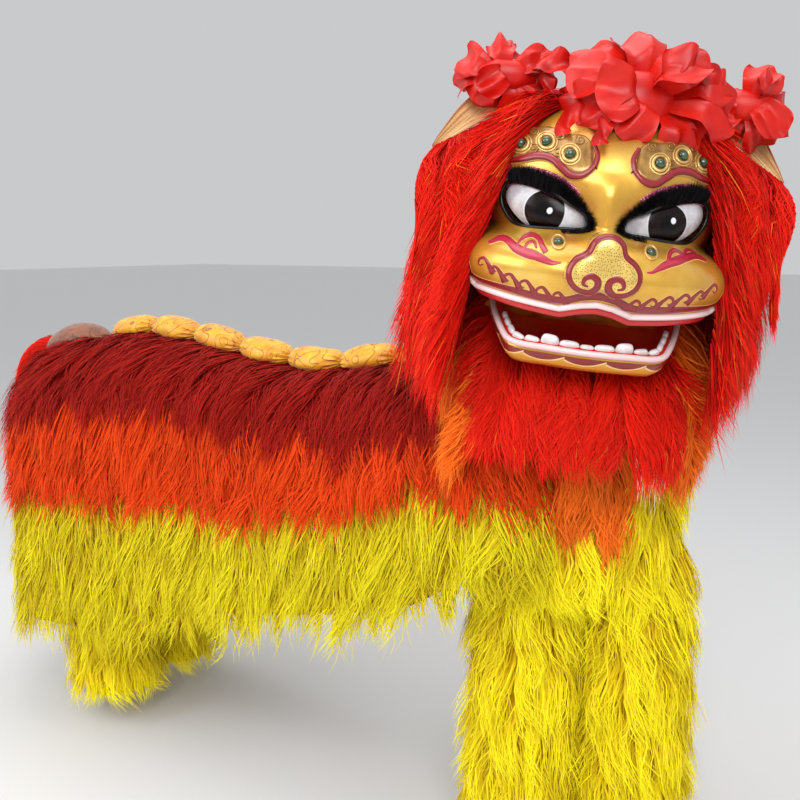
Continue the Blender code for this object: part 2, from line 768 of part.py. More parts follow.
def build_flowers(head, form):
    """A large satin flower over the forehead and a smaller one on each ear, with its ribbon."""
    rings = ruffled_rings((0.028, -0.085, 0.296), (0.118, 0.092, 0.096), 5, 0.12, 16, 6)
    centre = loft_piece("flower_centre", rings, head, "red_satin")
    boolean(centre, form)
    # Place along X, Y and Z, then the half sizes of the section there.
    tables = {
        "right": (
            (-0.106, -0.035, 0.338, 0.014, 0.014),
            (-0.150, -0.030, 0.334, 0.030, 0.026),
            (-0.195, -0.024, 0.318, 0.052, 0.054),
            (-0.250, -0.022, 0.308, 0.050, 0.046),
            (-0.292, -0.022, 0.296, 0.020, 0.020),
        ),
        "left": (
            (0.164, -0.035, 0.336, 0.014, 0.014),
            (0.200, -0.030, 0.328, 0.036, 0.034),
            (0.240, -0.024, 0.308, 0.050, 0.052),
            (0.290, -0.022, 0.292, 0.046, 0.044),
            (0.330, -0.022, 0.274, 0.020, 0.020),
        ),
    }
    for side, sign in SIDES.items():
        ear_tool = loft_piece("ear_tool_" + side, ear_rings(sign, SEAT_GAP), head)
        angle = np.linspace(0, 2 * math.pi, 10, endpoint=False)
        sections = []
        for station, (x, y, z, half_y, half_z) in enumerate(tables[side]):
            fold = 1 + 0.14 * np.sin(5 * angle + station)
            section = np.zeros((10, 3))
            section[:, 0] = x
            section[:, 1] = y + half_y * fold * np.cos(angle)
            section[:, 2] = z + half_z * fold * np.sin(angle)
            sections.append(section)
        flower = loft_piece("flower_" + side, sections, head, "red_satin")
        boolean(flower, form)
        boolean(flower, ear_tool)


def mane_grid():
    """Outer points of the mane in rows from the crown to the tips, over the back and both sides."""
    keys = sorted(MANE_PROFILES)
    profiles = np.array([MANE_PROFILES[key] for key in keys])
    half = np.array(MANE_COLUMNS, float)
    azimuth = np.concatenate([half, 360 - half[-2::-1]])
    folded = np.where(azimuth > 180, 360 - azimuth, azimuth)
    rows = profiles.shape[1]
    grid = np.zeros((rows, len(azimuth), 3))
    for row in range(rows):
        radius = np.interp(folded, keys, profiles[:, row, 0])
        height = np.interp(folded, keys, profiles[:, row, 1])
        lock = np.where(np.arange(len(azimuth)) % 2 == 0, 0.006, -0.006) * row / (rows - 1)
        radius = radius + lock
        grid[row, :, 0] = radius * np.sin(np.radians(azimuth))
        grid[row, :, 1] = -radius * np.cos(np.radians(azimuth)) * 0.92
        grid[row, :, 2] = height
    grid[-1, :, 2] += np.where(np.arange(len(azimuth)) % 2 == 0, -0.020, 0.020)
    return grid


def build_mane(head, form, lip_form):
    """The red mane round the back and sides of the head, and the longer fur that hangs from each ear."""
    outer = mane_grid()
    inward = outer * np.array([1.0, 1.0, 0.0])
    inward /= np.linalg.norm(inward, axis=-1)[..., None]
    inner = outer - inward * np.array(MANE_THICKNESS)[:, None, None]
    mane = wall_piece("mane", outer, inner, False, head, "red_fur")
    boolean(mane, form)
    boolean(mane, lip_form)
    columns = outer.shape[1]
    for side, first, last in (("left", 0, 4), ("right", columns - 5, columns - 1)):
        patch = outer[1:5, first : last + 1]
        away = inward[1:5, first : last + 1]
        root = patch + away * 0.0006
        across = 1 - 0.45 * np.abs(np.linspace(-1, 1, last - first + 1)) ** 2
        swell = np.outer(EAR_FUR_SWELL, across)
        outer_fur = root + away * swell[..., None]
        wall_piece("ear_fur_" + side, outer_fur, root, False, head, "red_fur")


def neck_rings(margin=0.0):
    """Rings of the satin neck: under the shell's rim at the back and sides, then level ovals."""
    wanted = [HEAD_COLUMNS.index(100) + step for step in range(7)]
    middle_wall = (CLOTH_WALL - SHELL_WALL) / 2
    back = head_grid(middle_wall + margin)[-1][wanted]
    back[:, 2] = head_grid()[-1][wanted][:, 2] - SEAT_GAP
    front = np.array([(-x, y - margin, NECK_FRONT_HEIGHT) for x, y in NECK_FRONT])
    top = np.concatenate([back, front])
    azimuth = np.arctan2(top[:, 0], NECK_ROWS[0][3] - top[:, 1])
    rings = [top]
    for height, half_x, half_y, centre_y in NECK_ROWS:
        ring = np.zeros_like(top)
        ring[:, 0] = (half_x + margin) * np.sin(azimuth)
        ring[:, 1] = centre_y - (half_y + margin) * np.cos(azimuth)
        ring[:, 2] = height
        rings.append(ring)
    rings[-1][:, 2] -= margin
    return rings


def build_neck(head, jacket_form):
    """The satin neck tube, and the chest fur that hangs before it."""
    outer = np.array(neck_rings())
    inner = np.array(neck_rings(-CLOTH_WALL))
    wall_piece("neck_cloth", outer, inner, True, head, "gold_cloth")
    tool = loft_piece("neck_form", neck_rings(SEAT_GAP), head)
    columns = 9
    across = np.linspace(-1, 1, columns)
    outer_fur = np.zeros((len(CHEST_ROWS), columns, 3))
    inner_fur = np.zeros((len(CHEST_ROWS), columns, 3))
    for row, (z, y, thick) in enumerate(CHEST_ROWS):
        outer_fur[row, :, 0] = 0.018 + across * 0.146
        outer_fur[row, :, 1] = y + 0.115 * across**2
        outer_fur[row, :, 2] = z
        inner_fur[row] = outer_fur[row] + np.array([0, thick, 0])
    tips = np.where(np.arange(columns) % 2 == 0, -0.018, 0.018)
    outer_fur[-1, :, 2] += tips
    inner_fur[-1, :, 2] += tips
    bib = wall_piece("chest_mane", outer_fur, inner_fur, False, head, "red_fur")
    boolean(bib, tool)
    boolean(bib, jacket_form)
    return tool


def jaw_path(inset, drop):
    """The jaw's rim from one hinge to the other, drawn inwards and down."""
    half = np.array(JAW_RIM)
    width, reach, height, share = half.T
    left = np.stack([width, -reach, height], axis=1)
    right = left[-2::-1] * np.array([-1, 1, 1])
    path = np.concatenate([left, right])
    step = np.gradient(path, axis=0)
    step[:, 2] = 0
    inward = np.stack([step[:, 1], -step[:, 0], np.zeros(len(step))], axis=1)
    inward /= np.linalg.norm(inward, axis=1)[:, None]
    inward[[0, -1]] = inward[[1, -2]]
    path = path + inward * inset
    path[:, 2] -= drop * np.concatenate([share, share[-2::-1]])
    return path


def build_jaw(head):
    """The hinged lower jaw: a gold bowl with a red lining, a piping and a row of teeth."""
    hinge = make_empty("jaw_hinge", head, (0, JAW_HINGE_Y, JAW_HINGE_Z), (JAW_OPEN, 0, 0))
    wall_piece("jaw", jaw_bowl(0.0), jaw_bowl(JAW_WALL), False, hinge, "gold", (0,))
    lining_outer = jaw_bowl(JAW_WALL + SEAT_GAP, 0.0015)
    lining_inner = jaw_bowl(JAW_WALL + SEAT_GAP + CLOTH_WALL, 0.0015)
    wall_piece("jaw_lining", lining_outer, lining_inner, False, hinge, "mouth_red", (0,))
    build_jaw_trim(hinge)
    build_lower_teeth(hinge)


def jaw_bowl(inset, drop=0.0):
    """A face of the jaw's bowl, an inset inside its outer face: rim, side, bend, floor and middle."""
    rows = np.stack([
        jaw_path(inset + 0.2 * drop, drop),
        jaw_path(inset + 0.004, 0.022),
        jaw_path(inset + 0.018, JAW_DEPTH - inset),
    ])
    floor = rows[-1] * np.array([0.60, 1, 1])
    floor[:, 1] = np.clip(floor[:, 1] + 0.040, -0.215 + inset, -0.060)
    floor[:, 2] = inset - JAW_DEPTH - 0.006
    middle = floor * np.array([0.0, 1, 1])
    return np.concatenate([rows, floor[None], middle[None]])


def build_jaw_trim(hinge):
    """A round piping on the jaw's rim."""
    path = jaw_path(JAW_WALL / 2, 0.0)[1:-1]
    side_step = jaw_path(JAW_WALL / 2 + 0.01, 0.0)[1:-1] - path
    outward = -side_step / np.linalg.norm(side_step, axis=1)[:, None]
    angle = np.linspace(0, 2 * math.pi, PIPING_SIDES, endpoint=False)
    across = PIPING_RADIUS * np.cos(angle)
    up = PIPING_RADIUS * (np.sin(angle) + 1) + SEAT_GAP
    rings = swept_rings(path, outward, across, up)
    loft_piece("jaw_trim", rings, hinge, "piping")


def build_lower_teeth(hinge):
    """One row of teeth against the piping, as a band whose top steps between crowns and gaps."""
    inset = JAW_WALL / 2 + PIPING_RADIUS + SEAT_GAP
    root_drop, thick = 0.016, 0.007
    lean = 0.004 * root_drop / 0.022
    rim = jaw_path(inset, 0.0)[2:-2]
    length = np.concatenate([[0], np.cumsum(np.linalg.norm(np.diff(rim, axis=0), axis=1))])
    where = np.linspace(0, length[-1], TOOTH_STEPS)
    path = np.stack([np.interp(where, length, rim[:, axis]) for axis in range(3)], axis=1)
    step = np.gradient(path, axis=0)
    inward = np.stack([step[:, 1], -step[:, 0], np.zeros(TOOTH_STEPS)], axis=1)
    inward /= np.linalg.norm(inward, axis=1)[:, None]
    crown = np.where(np.arange(TOOTH_STEPS) % 2 == 1, 0.016, 0.009)
    crown[list(TALL_TEETH)] = 0.022
    rings = []
    for front, away, top in zip(path, inward, crown):
        root = front + away * lean
        rings.append([
            (root[0], root[1], front[2] - root_drop),
            (front[0], front[1], front[2] + top),
            (*(front + away * thick)[:2], front[2] + top - 0.002),
            (*(root + away * thick)[:2], front[2] - root_drop),
        ])
    loft_piece("lower_teeth", rings, hinge, "teeth")


def skin_columns():
    """Plan of the skin: X and Y of each column, its outward direction, and its table place."""
    table = np.array(SKIN_TABLE)
    lengths = np.linspace(SKIN_FRONT, SKIN_STERN, SKIN_LENGTHS + 1)
    width = np.interp(-lengths, -table[:, 0], table[:, 1])
    near = [(x, -w, x, x) for x, w in zip(lengths, width)]
    stern_radius = width[-1]
    stern = []
    for step in range(1, 2 * STERN_STEPS):
        angle = math.pi * step / (2 * STERN_STEPS)
        back = stern_radius * math.sin(angle)
        stern.append((SKIN_STERN - back, -stern_radius * math.cos(angle), SKIN_STERN, SKIN_STERN - back))
    far = [(x, -y, ridge, place) for x, y, ridge, place in reversed(near)]
    return np.array(near + stern + far)


def skin_grid():
    """Points of the skin from the ridge to the hem, in columns from the near front round the rump.

    Above the shoulder a column follows a quarter ellipse, and below it hangs straight
    through the three fur boundaries.
    """
    table = np.array(SKIN_TABLE)
    columns = skin_columns()
    place = -columns[:, 3]
    ridge, red, orange, hem = [np.interp(place, -table[:, 0], table[:, k]) for k in (2, 3, 4, 5)]
    reach = np.stack([columns[:, 0] - columns[:, 2], columns[:, 1]], axis=1)
    rows = []
    ridge_x = columns[:, 2]
    ridge_z = np.interp(-ridge_x, -table[:, 0], table[:, 2])
    bottom = red + 0.02
    widest = math.radians(SHOULDER_ANGLES[-1])
    for angle in np.radians(SHOULDER_ANGLES):
        out = math.sin(angle) / math.sin(widest)
        down = (1 - math.cos(angle)) / (1 - math.cos(widest))
        height = ridge_z + (bottom - ridge_z) * down
        rows.append(np.stack([ridge_x + reach[:, 0] * out, reach[:, 1] * out, height], axis=1))
    tips = np.where(np.arange(len(columns)) % 2 == 0, -0.022, 0.022)
    tips[[0, -1]] = 0
    for height, flare in (
        ((red + orange) / 2, 1.00),
        (orange + 0.02, 1.01),
        ((orange + hem) / 2, 1.02),
        (hem + tips, 1.04),
    ):
        out_x, out_y = reach.T * flare
        rows.append(np.stack([ridge_x + out_x, out_y, height], axis=1))
    grid = np.array(rows)
    grid[..., 1] += SKIN_MID_Y
    return grid


def skin_normals(grid):
    """Outward directions for the skin, straight up along the ridge."""
    normal = -surface_normals(grid)
    normal[0] = (0, 0, 1)
    outward = grid - np.array([0, SKIN_MID_Y, 0])
    outward[..., 0] = 0
    wrong = (normal * outward).sum(axis=-1) < 0
    wrong[0] = False
    normal[wrong] *= -1
    return normal


def fur_band(name, grid, normal, rows, roots, tips, frame, finish, inner=SEAT_GAP, extra=0.0):
    """A band of fur over some rows of the skin: thin at its roots, thick at its tips, in locks."""
    first, last = rows
    patch, away = grid[first : last + 1].copy(), normal[first : last + 1]
    if first > 0:
        patch[0] = patch[0] + (patch[1] - patch[0]) * 0.01
    amount = np.linspace(roots, tips, last - first + 1)[:, None]
    swing = np.where(np.arange(grid.shape[1]) % 2 == 0, 0.13, -0.13)
    lock = 1 + np.minimum(np.arange(first, last + 1), 1)[:, None] * swing[None, :]
    outer = patch + away * (inner + amount * lock + extra)[..., None]
    inside = patch + away * inner
    edges = (-1,) if first == 0 else (0, -1)
    return wall_piece(name, outer, inside, False, frame, finish, edges)


def build_skin(floor, neck_form):
    """The long cloth that joins the two wearers, sewn to the neck, with its three bands of fur."""
    grid = skin_grid()
    normal = skin_normals(grid)
    cloth = wall_piece("body_cloth", grid, grid - normal * CLOTH_WALL, False, floor, "red_cloth", (-1,))
    boolean(cloth, neck_form)
    red = fur_band("fur_red", grid, normal, (0, 3), 0.012, 0.045, floor, "red_fur")
    boolean(red, neck_form)
    fur_band("fur_orange", grid, normal, (3, 5), 0.020, 0.048, floor, "orange_fur")
    fur_band("fur_yellow", grid, normal, (5, 7), 0.022, 0.045, floor, "yellow_fur")
    depth = 0.05
    over = 2 * SEAT_GAP + depth
    return fur_band("ridge_form", grid, normal, (0, 3), 0.012, 0.045, floor, None, -depth, over)


def ridge_height(x):
    """Height of the ridge at a place along the body."""
    table = np.array(SKIN_TABLE)
    return float(np.interp(-x, -table[:, 0], table[:, 2]))


def build_spine(floor, ridge_form):
    """A row of stuffed satin puffs along the ridge, and the brocade pad and plume at its end."""
    angle = np.linspace(0, 2 * math.pi, PUFF_SIDES, endpoint=False)
    half = PUFF_PITCH / 2 - 0.001
    for count in range(PUFF_COUNT):
        middle = PUFF_FIRST + PUFF_PITCH * (count + 0.5)
        rings = []
        for along, size in PUFF_PROFILE:
            x = middle + along * half
            ring = np.zeros((PUFF_SIDES, 3))
            ring[:, 0] = x
            ring[:, 1] = SKIN_MID_Y + PUFF_HALF_WIDTH * size * np.cos(angle)
            ring[:, 2] = ridge_height(x) + 0.026 + PUFF_HALF_HEIGHT * size * np.sin(angle)
            rings.append(ring)
        puff = loft_piece("spine_pad_{}".format(count + 1), rings, floor, "yellow_satin")
        boolean(puff, ridge_form)
    build_tail(floor, ridge_form)


def build_tail(floor, ridge_form):
    """The oval brocade pad over the rump and the red plume behind it."""
    rings = []
    for x, size, drop in TAIL_PAD_ROWS:
        ring = oval(8, TAIL_PAD_HALF_WIDTH * size, TAIL_PAD_HALF_HEIGHT * size, (0, 0, 0))
        section = np.zeros((8, 3))
        section[:, 0] = x
        section[:, 1] = SKIN_MID_Y - 0.020 + ring[:, 0]
        section[:, 2] = TAIL_PAD_HEIGHT - drop + ring[:, 1]
        rings.append(section)
    pad = loft_piece("tail_pad", rings, floor, "brown_brocade")
    boolean(pad, ridge_form)
    middle = np.array(rings).mean(axis=1, keepdims=True)
    swollen = middle + (np.array(rings) - middle) * 1.02
    swollen[..., 0] -= SEAT_GAP
    pad_form = loft_piece("tail_pad_form", swollen, floor)
    plume = []
    for x, z, half_width, half_thick, lean in TAIL_ROWS:
        ring = oval(8, half_width, half_thick, (0, 0, 0))
        section = np.zeros((8, 3))
        section[:, 0] = x + ring[:, 1] * math.cos(math.radians(lean))
        section[:, 1] = SKIN_MID_Y - 0.01 + ring[:, 0]
        section[:, 2] = z + ring[:, 1] * math.sin(math.radians(lean))
        plume.append(section)
    tail = loft_piece("tail_fur", plume, floor, "red_fur")
    boolean(tail, ridge_form)
    boolean(tail, pad_form)


def furred_tube(count, rows, locks, turn=0.0):
    """Rings of a furred garment tube: each row gives centre, half sizes and height."""
    rings = []
    for row, (x, y, z, half_x, half_y) in enumerate(rows):
        ring = oval(count, half_x, half_y, (x, y, z), turn)
        lock = np.where((np.arange(count) + row) % 2 == 0, 1 + locks, 1 - locks)
        ring[:, 0] = x + (ring[:, 0] - x) * lock
        ring[:, 1] = y + (ring[:, 1] - y) * lock
        rings.append(ring)
    return rings


def jacket_rings(margin=0.0):
    """Outer sections of the jacket, in fur tiers that spread downwards and step back in."""
    rows = [(0, 0, height, half_x + margin, half_y + margin) for height, half_x, half_y in JACKET_ROWS]
    return furred_tube(LEG_SIDES, rows, 0.015, HIP_TURN)


def build_jacket(wearer, neck_form):
    """The furred top of the front wearer, a tiered tube with a neck hole."""
    inside = [oval(LEG_SIDES, a, b, (0, 0, z), HIP_TURN) for z, a, b in JACKET_INSIDE]
    jacket = loft_piece("jacket", jacket_rings(), wearer, "yellow_fur")
    boolean(jacket, loft_piece("jacket_inside", inside, wearer))
    boolean(jacket, neck_form)


def trouser_tools(label, frame, hips, legs, wall):
    """The closed outer and inner forms of a pair of trousers: hips and two legs each."""
    outer, inner = [], []
    outer.append(loft_piece(label + "_hips_out", furred_tube(LEG_SIDES, hips, 0.0, HIP_TURN), frame))
    thin = [oval(LEG_SIDES, a - wall, b - wall, (x, y, z), HIP_TURN) for x, y, z, a, b in hips]
    thin[0][:, 2] += 0.02
    thin[-1][:, 2] += 0.012
    inner.append(loft_piece(label + "_hips_in", thin, frame))
    for side, rows in legs.items():
        outer.append(loft_piece(label + "_leg_out_" + side, furred_tube(LEG_SIDES, rows, 0.05), frame))
        top, bottom = rows[0], rows[-1]
        core = [
            oval(LEG_SIDES, LEG_INNER, LEG_INNER, (top[0], top[1], top[2] - 0.012)),
            oval(LEG_SIDES, LEG_INNER, LEG_INNER, (bottom[0], bottom[1], bottom[2] - 0.02)),
        ]
        inner.append(loft_piece(label + "_leg_in_" + side, core, frame))
    return outer, inner


def join_trousers(name, outer, inner, frame):
    """Hips joined to both legs, then hollowed by the inner forms."""
    hips = outer[0]
    hips.name = name
    hips.hide_render = False
    hips.display_type = "TEXTURED"
    hips.data.materials.append(make_material(name, "yellow_fur"))
    for tool in outer[1:]:
        boolean(hips, tool, "UNION")
    for tool in inner:
        boolean(hips, tool)
    return hips


def leg_rows(top_x, top_y, foot_x, foot_y, top, bottom, tiers, root, tip):
    """Rows of a furred leg: in each tier the fur spreads downwards and steps back in."""
    rows = []
    for tier in range(tiers):
        for part, radius in ((0.0, root), (0.94, tip)):
            amount = (tier + part) / (tiers - 0.06)
            amount = min(amount, 1.0)
            x = top_x + (foot_x - top_x) * amount
            y = top_y + (foot_y - top_y) * amount
            rows.append((x, y, top + (bottom - top) * amount, radius, radius))
    return rows


def build_trousers(floor, wearer):
    """Two pairs of furred trousers: the front pair under the jacket, the rear pair inside the skin."""
    legs = {
        "right": leg_rows(-0.107, 0.004, -0.128, 0.0, 0.725, 0.035, 4, 0.094, 0.118),
        "left": leg_rows(0.104, -0.003, 0.128, 0.0, 0.722, 0.035, 4, 0.094, 0.118),
    }
    outer, inner = trouser_tools("front", wearer, FRONT_HIPS, legs, CLOTH_WALL)
    join_trousers("front_trousers", outer, inner, wearer)
    legs = {
        "right": leg_rows(-1.45, -0.070, -1.410, -0.095, 0.800, 0.035, 4, 0.094, 0.118),
        "left": leg_rows(-1.45, 0.140, -1.410, 0.155, 0.800, 0.035, 4, 0.094, 0.118),
    }
    outer, inner = trouser_tools("rear", floor, REAR_HIPS, legs, CLOTH_WALL)
    join_trousers("rear_trousers", outer, inner, floor)


def main():
    clear_scene()
    head = make_empty("head_frame", None, (0, 0, 0), (HEAD_PITCH, HEAD_ROLL, HEAD_YAW))
    floor = make_empty("floor_frame", None, (-CARRY_X, -CARRY_Y, -CARRY_HEIGHT))
    wearer = make_empty("wearer_frame", floor, (WEARER_X, WEARER_Y, 0), (0, 0, WEARER_YAW))
    form = head_form("seat_form", head, SEAT_GAP)
    eyes = eye_frames(head)
    build_head_shell(head, eyes)
    build_eyes(head, eyes)
    lip_form = build_lip_trim(head)
    behind_lip, lip_outward = build_mouth_lining(head)
    build_upper_fangs(head, behind_lip, lip_outward)
    build_nose(head, form)
    build_brow_crests(head, form)
    build_studs(head)
    build_ears(head, form)
    build_flowers(head, form)
    build_mane(head, form, lip_form)
    jacket_form = loft_piece("jacket_form", jacket_rings(2 * SEAT_GAP), wearer)
    neck_form = build_neck(head, jacket_form)
    build_jaw(head)
    ridge_form = build_skin(floor, neck_form)
    build_spine(floor, ridge_form)
    build_jacket(wearer, neck_form)
    build_trousers(floor, wearer)


if __name__ == "__main__":
    main()
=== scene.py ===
"""The looks of a northern lion dance costume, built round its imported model.

Every surface is an array of points worked out from named sizes, in metres and in the
model's frame: +Z up, +X from the rump towards the head, the origin inside the head.
"""

import math

import bmesh
import bpy
import numpy as np
from bpy.props import FloatProperty, FloatVectorProperty, PointerProperty
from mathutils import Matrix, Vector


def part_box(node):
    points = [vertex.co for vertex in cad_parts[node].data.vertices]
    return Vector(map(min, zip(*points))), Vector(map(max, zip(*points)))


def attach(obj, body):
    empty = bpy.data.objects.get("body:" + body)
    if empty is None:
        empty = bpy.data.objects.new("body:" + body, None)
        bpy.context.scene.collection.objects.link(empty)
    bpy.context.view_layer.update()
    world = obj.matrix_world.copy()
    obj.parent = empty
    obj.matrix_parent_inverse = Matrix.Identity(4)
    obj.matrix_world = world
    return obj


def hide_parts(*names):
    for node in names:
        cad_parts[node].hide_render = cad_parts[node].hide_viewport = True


bl_info = {
    "name": "Lion Dance Costume",
    "version": (1, 0, 0),
    "blender": (4, 5, 0),
    "location": "View3D > Sidebar > Costume",
    "description": "Builds the furs, cloths and painted mask of a lion dance costume",
    "category": "Add Mesh",
}

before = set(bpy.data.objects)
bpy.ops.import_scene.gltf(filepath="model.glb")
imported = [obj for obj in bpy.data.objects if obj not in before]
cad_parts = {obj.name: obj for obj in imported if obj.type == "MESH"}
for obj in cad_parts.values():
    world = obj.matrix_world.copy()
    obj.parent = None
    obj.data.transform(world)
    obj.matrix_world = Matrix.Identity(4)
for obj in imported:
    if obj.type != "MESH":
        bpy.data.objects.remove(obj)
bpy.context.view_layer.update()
SIDES = {"right": -1, "left": 1}


def shift(x, y, z):
    """A move as a 4 by 4 matrix."""
    matrix = np.eye(4)
    matrix[:3, 3] = (x, y, z)
    return matrix


def turn(axis, degrees):
    """A right-handed turn about the X, Y or Z axis as a 4 by 4 matrix."""
    first, second = {"x": (1, 2), "y": (2, 0), "z": (0, 1)}[axis]
    cosine, sine = math.cos(math.radians(degrees)), math.sin(math.radians(degrees))
    matrix = np.eye(4)
    matrix[first, first] = matrix[second, second] = cosine
    matrix[second, first], matrix[first, second] = sine, -sine
    return matrix


HEAD_YAW, HEAD_ROLL, HEAD_PITCH = 26.0, 6.5, 3.0
JAW_HINGE, JAW_OPEN = (0.0, 0.02, -0.066), 27.0
EYE_PLACE, EYE_SLANT, EYE_SPLAY = (0.094, -0.14, 0.072), 17.3, 22.9
HEAD = turn("z", HEAD_YAW) @ turn("y", HEAD_ROLL) @ turn("x", HEAD_PITCH)
JAW = HEAD @ shift(*JAW_HINGE) @ turn("x", JAW_OPEN)
FLOOR = shift(-0.037, 0.095, -1.381)
WEARER = FLOOR @ shift(0, 0.03, 0) @ turn("z", HEAD_YAW)


def eye_frame(sign):
    """The frame of an eye: X along its lid's hinge, -Y looking out."""
    x, y, z = EYE_PLACE
    return HEAD @ shift(sign * x, y, z) @ turn("z", sign * EYE_SPLAY) @ turn("y", -sign * EYE_SLANT)


def placed(matrix, points):
    """Points carried from a frame of the costume into the model's frame."""
    return points @ matrix[:3, :3].T + matrix[:3, 3]


def unit(vectors):
    """Vectors scaled to length one."""
    return vectors / np.maximum(np.linalg.norm(vectors, axis=-1, keepdims=True), 1e-12)


def patch(grid, wrap=False, u=None, v=None, paint=0, flip=False):
    """Quads between the neighbours of a grid of points, with a place (u, v) for each corner.

    u runs over the columns and v over the rows, from 0 to 1 unless they are given.
    """
    rows, columns = grid.shape[:2]
    spans = columns if wrap else columns - 1
    u = np.linspace(0, 1, spans + 1) if u is None else np.asarray(u, float)
    v = np.linspace(0, 1, rows) if v is None else np.asarray(v, float)
    row, column = np.meshgrid(np.arange(rows - 1), np.arange(spans), indexing="ij")
    row, column = row.ravel(), column.ravel()
    corner_rows = np.stack([row, row, row + 1, row + 1], axis=1)
    corner_columns = np.stack([column, column + 1, column + 1, column], axis=1)
    if flip:
        corner_rows, corner_columns = corner_rows[:, ::-1], corner_columns[:, ::-1]
    quads = corner_rows * columns + corner_columns % columns
    places = np.stack([u[corner_columns], v[corner_rows]], axis=-1)
    return grid.reshape(-1, 3), quads, places, np.full(len(quads), paint)


def make_mesh(name, patches, materials):
    """A mesh from patches, its points joined end to end."""
    start, parts = 0, []
    for points, quads, places, paint in patches:
        parts.append((points, quads + start, places, paint))
        start += len(points)
    points, quads, places, paint = [np.concatenate(part) for part in zip(*parts)]
    mesh = bpy.data.meshes.new(name)
    mesh.vertices.add(len(points))
    mesh.vertices.foreach_set("co", points.astype(np.float32).ravel())
    mesh.loops.add(quads.size)
    mesh.polygons.add(len(quads))
    mesh.polygons.foreach_set("loop_start", np.arange(0, quads.size, 4, dtype=np.int32))
    mesh.polygons.foreach_set("vertices", quads.astype(np.int32).ravel())
    mesh.polygons.foreach_set("material_index", paint.astype(np.int32))
    mesh.update(calc_edges=True)
    layer = mesh.uv_layers.new(name="Weave")
    layer.data.foreach_set("uv", places.astype(np.float32).ravel())
    for material in materials:
        mesh.materials.append(material)
    mesh.shade_smooth()
    return mesh


def close_mesh(mesh, outward=True):
    """Merge the points that meet at poles and seams, and turn the faces of closed shells outwards."""
    body = bmesh.new()
    body.from_mesh(mesh)
    bmesh.ops.remove_doubles(body, verts=body.verts, dist=0.00002)
    if outward:
        bmesh.ops.recalc_face_normals(body, faces=body.faces)
    body.to_mesh(mesh)
    body.free()


def make_piece(name, patches, materials, body, replaces=(), close=True, outward=True):
    """A piece of the costume from patches already in the model's frame, riding on a body."""
    materials = materials if isinstance(materials, (list, tuple)) else [materials]
    mesh = make_mesh(name, patches, materials)
    if close:
        close_mesh(mesh, outward)
    piece = bpy.data.objects.new(name, mesh)
    bpy.context.scene.collection.objects.link(piece)
    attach(piece, body)
    if replaces:
        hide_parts(*replaces)
    return piece


def tube(path, radii, sides=12, closed_ends=True, flat=1.0, reference=(0, 0, 1)):
    """Rings square to a path, an ellipse of the given radii round each point, drawn to points at the ends."""
    path = np.asarray(path, float)
    along = unit(np.gradient(path, axis=0))
    side = unit(np.cross(along, np.broadcast_to(reference, path.shape)))
    up = np.cross(side, along)
    angle = np.linspace(0, 2 * math.pi, sides, endpoint=False)
    radii = np.broadcast_to(radii, (len(path),))[:, None, None]
    rings = path[:, None] + radii * (
        np.cos(angle)[None, :, None] * side[:, None] + flat * np.sin(angle)[None, :, None] * up[:, None]
    )
    if closed_ends:
        ends = [np.repeat(path[index][None, None], sides, axis=1) for index in (0, -1)]
        rings = np.concatenate([ends[0], rings, ends[1]])
    return rings


def smooth_path(points, count):
    """Evenly spaced points on the curve through some points, a Catmull-Rom spline."""
    points = np.asarray(points, float)
    padded = np.concatenate([2 * points[:1] - points[1:2], points, 2 * points[-1:] - points[-2:-1]])
    place = np.linspace(0, len(points) - 1, 24 * len(points))
    first = np.minimum(place.astype(int), len(points) - 2)
    t = (place - first)[:, None]
    a, b, c, d = (padded[first + step] for step in range(4))
    curve = 0.5 * (2 * b + (c - a) * t + (2 * a - 5 * b + 4 * c - d) * t**2 + (3 * b - a - 3 * c + d) * t**3)
    length = np.concatenate([[0], np.cumsum(np.linalg.norm(np.diff(curve, axis=0), axis=1))])
    wanted = np.linspace(0, length[-1], count)
    return np.stack([np.interp(wanted, length, curve[:, k]) for k in range(curve.shape[1])], axis=1)


def rounded(value):
    """The smooth step 3t^2 - 2t^3 of a value held between 0 and 1."""
    value = np.clip(value, 0, 1)
    return value * value * (3 - 2 * value)


def bell(value, width):
    """A bell curve of a value, one at its middle."""
    return np.exp(-((value / width) ** 2))


class Value:
    """A socket of a shader. Python's operators on it add Math nodes."""

    def __init__(self, paint, socket):
        self.paint, self.socket = paint, socket

    def math(self, operation, *values):
        return self.paint.node("ShaderNodeMath", {"operation": operation}, dict(enumerate(values)))

    def __add__(self, other):
        return self.math("ADD", self, other)

    __radd__ = __add__

    def __mul__(self, other):
        return self.math("MULTIPLY", self, other)

    __rmul__ = __mul__

    def __sub__(self, other):
        return self.math("SUBTRACT", self, other)

    def __rsub__(self, other):
        return self.math("SUBTRACT", other, self)

    def __pow__(self, other):
        return self.math("POWER", self, other)

    def __abs__(self):
        return self.math("ABSOLUTE", self)


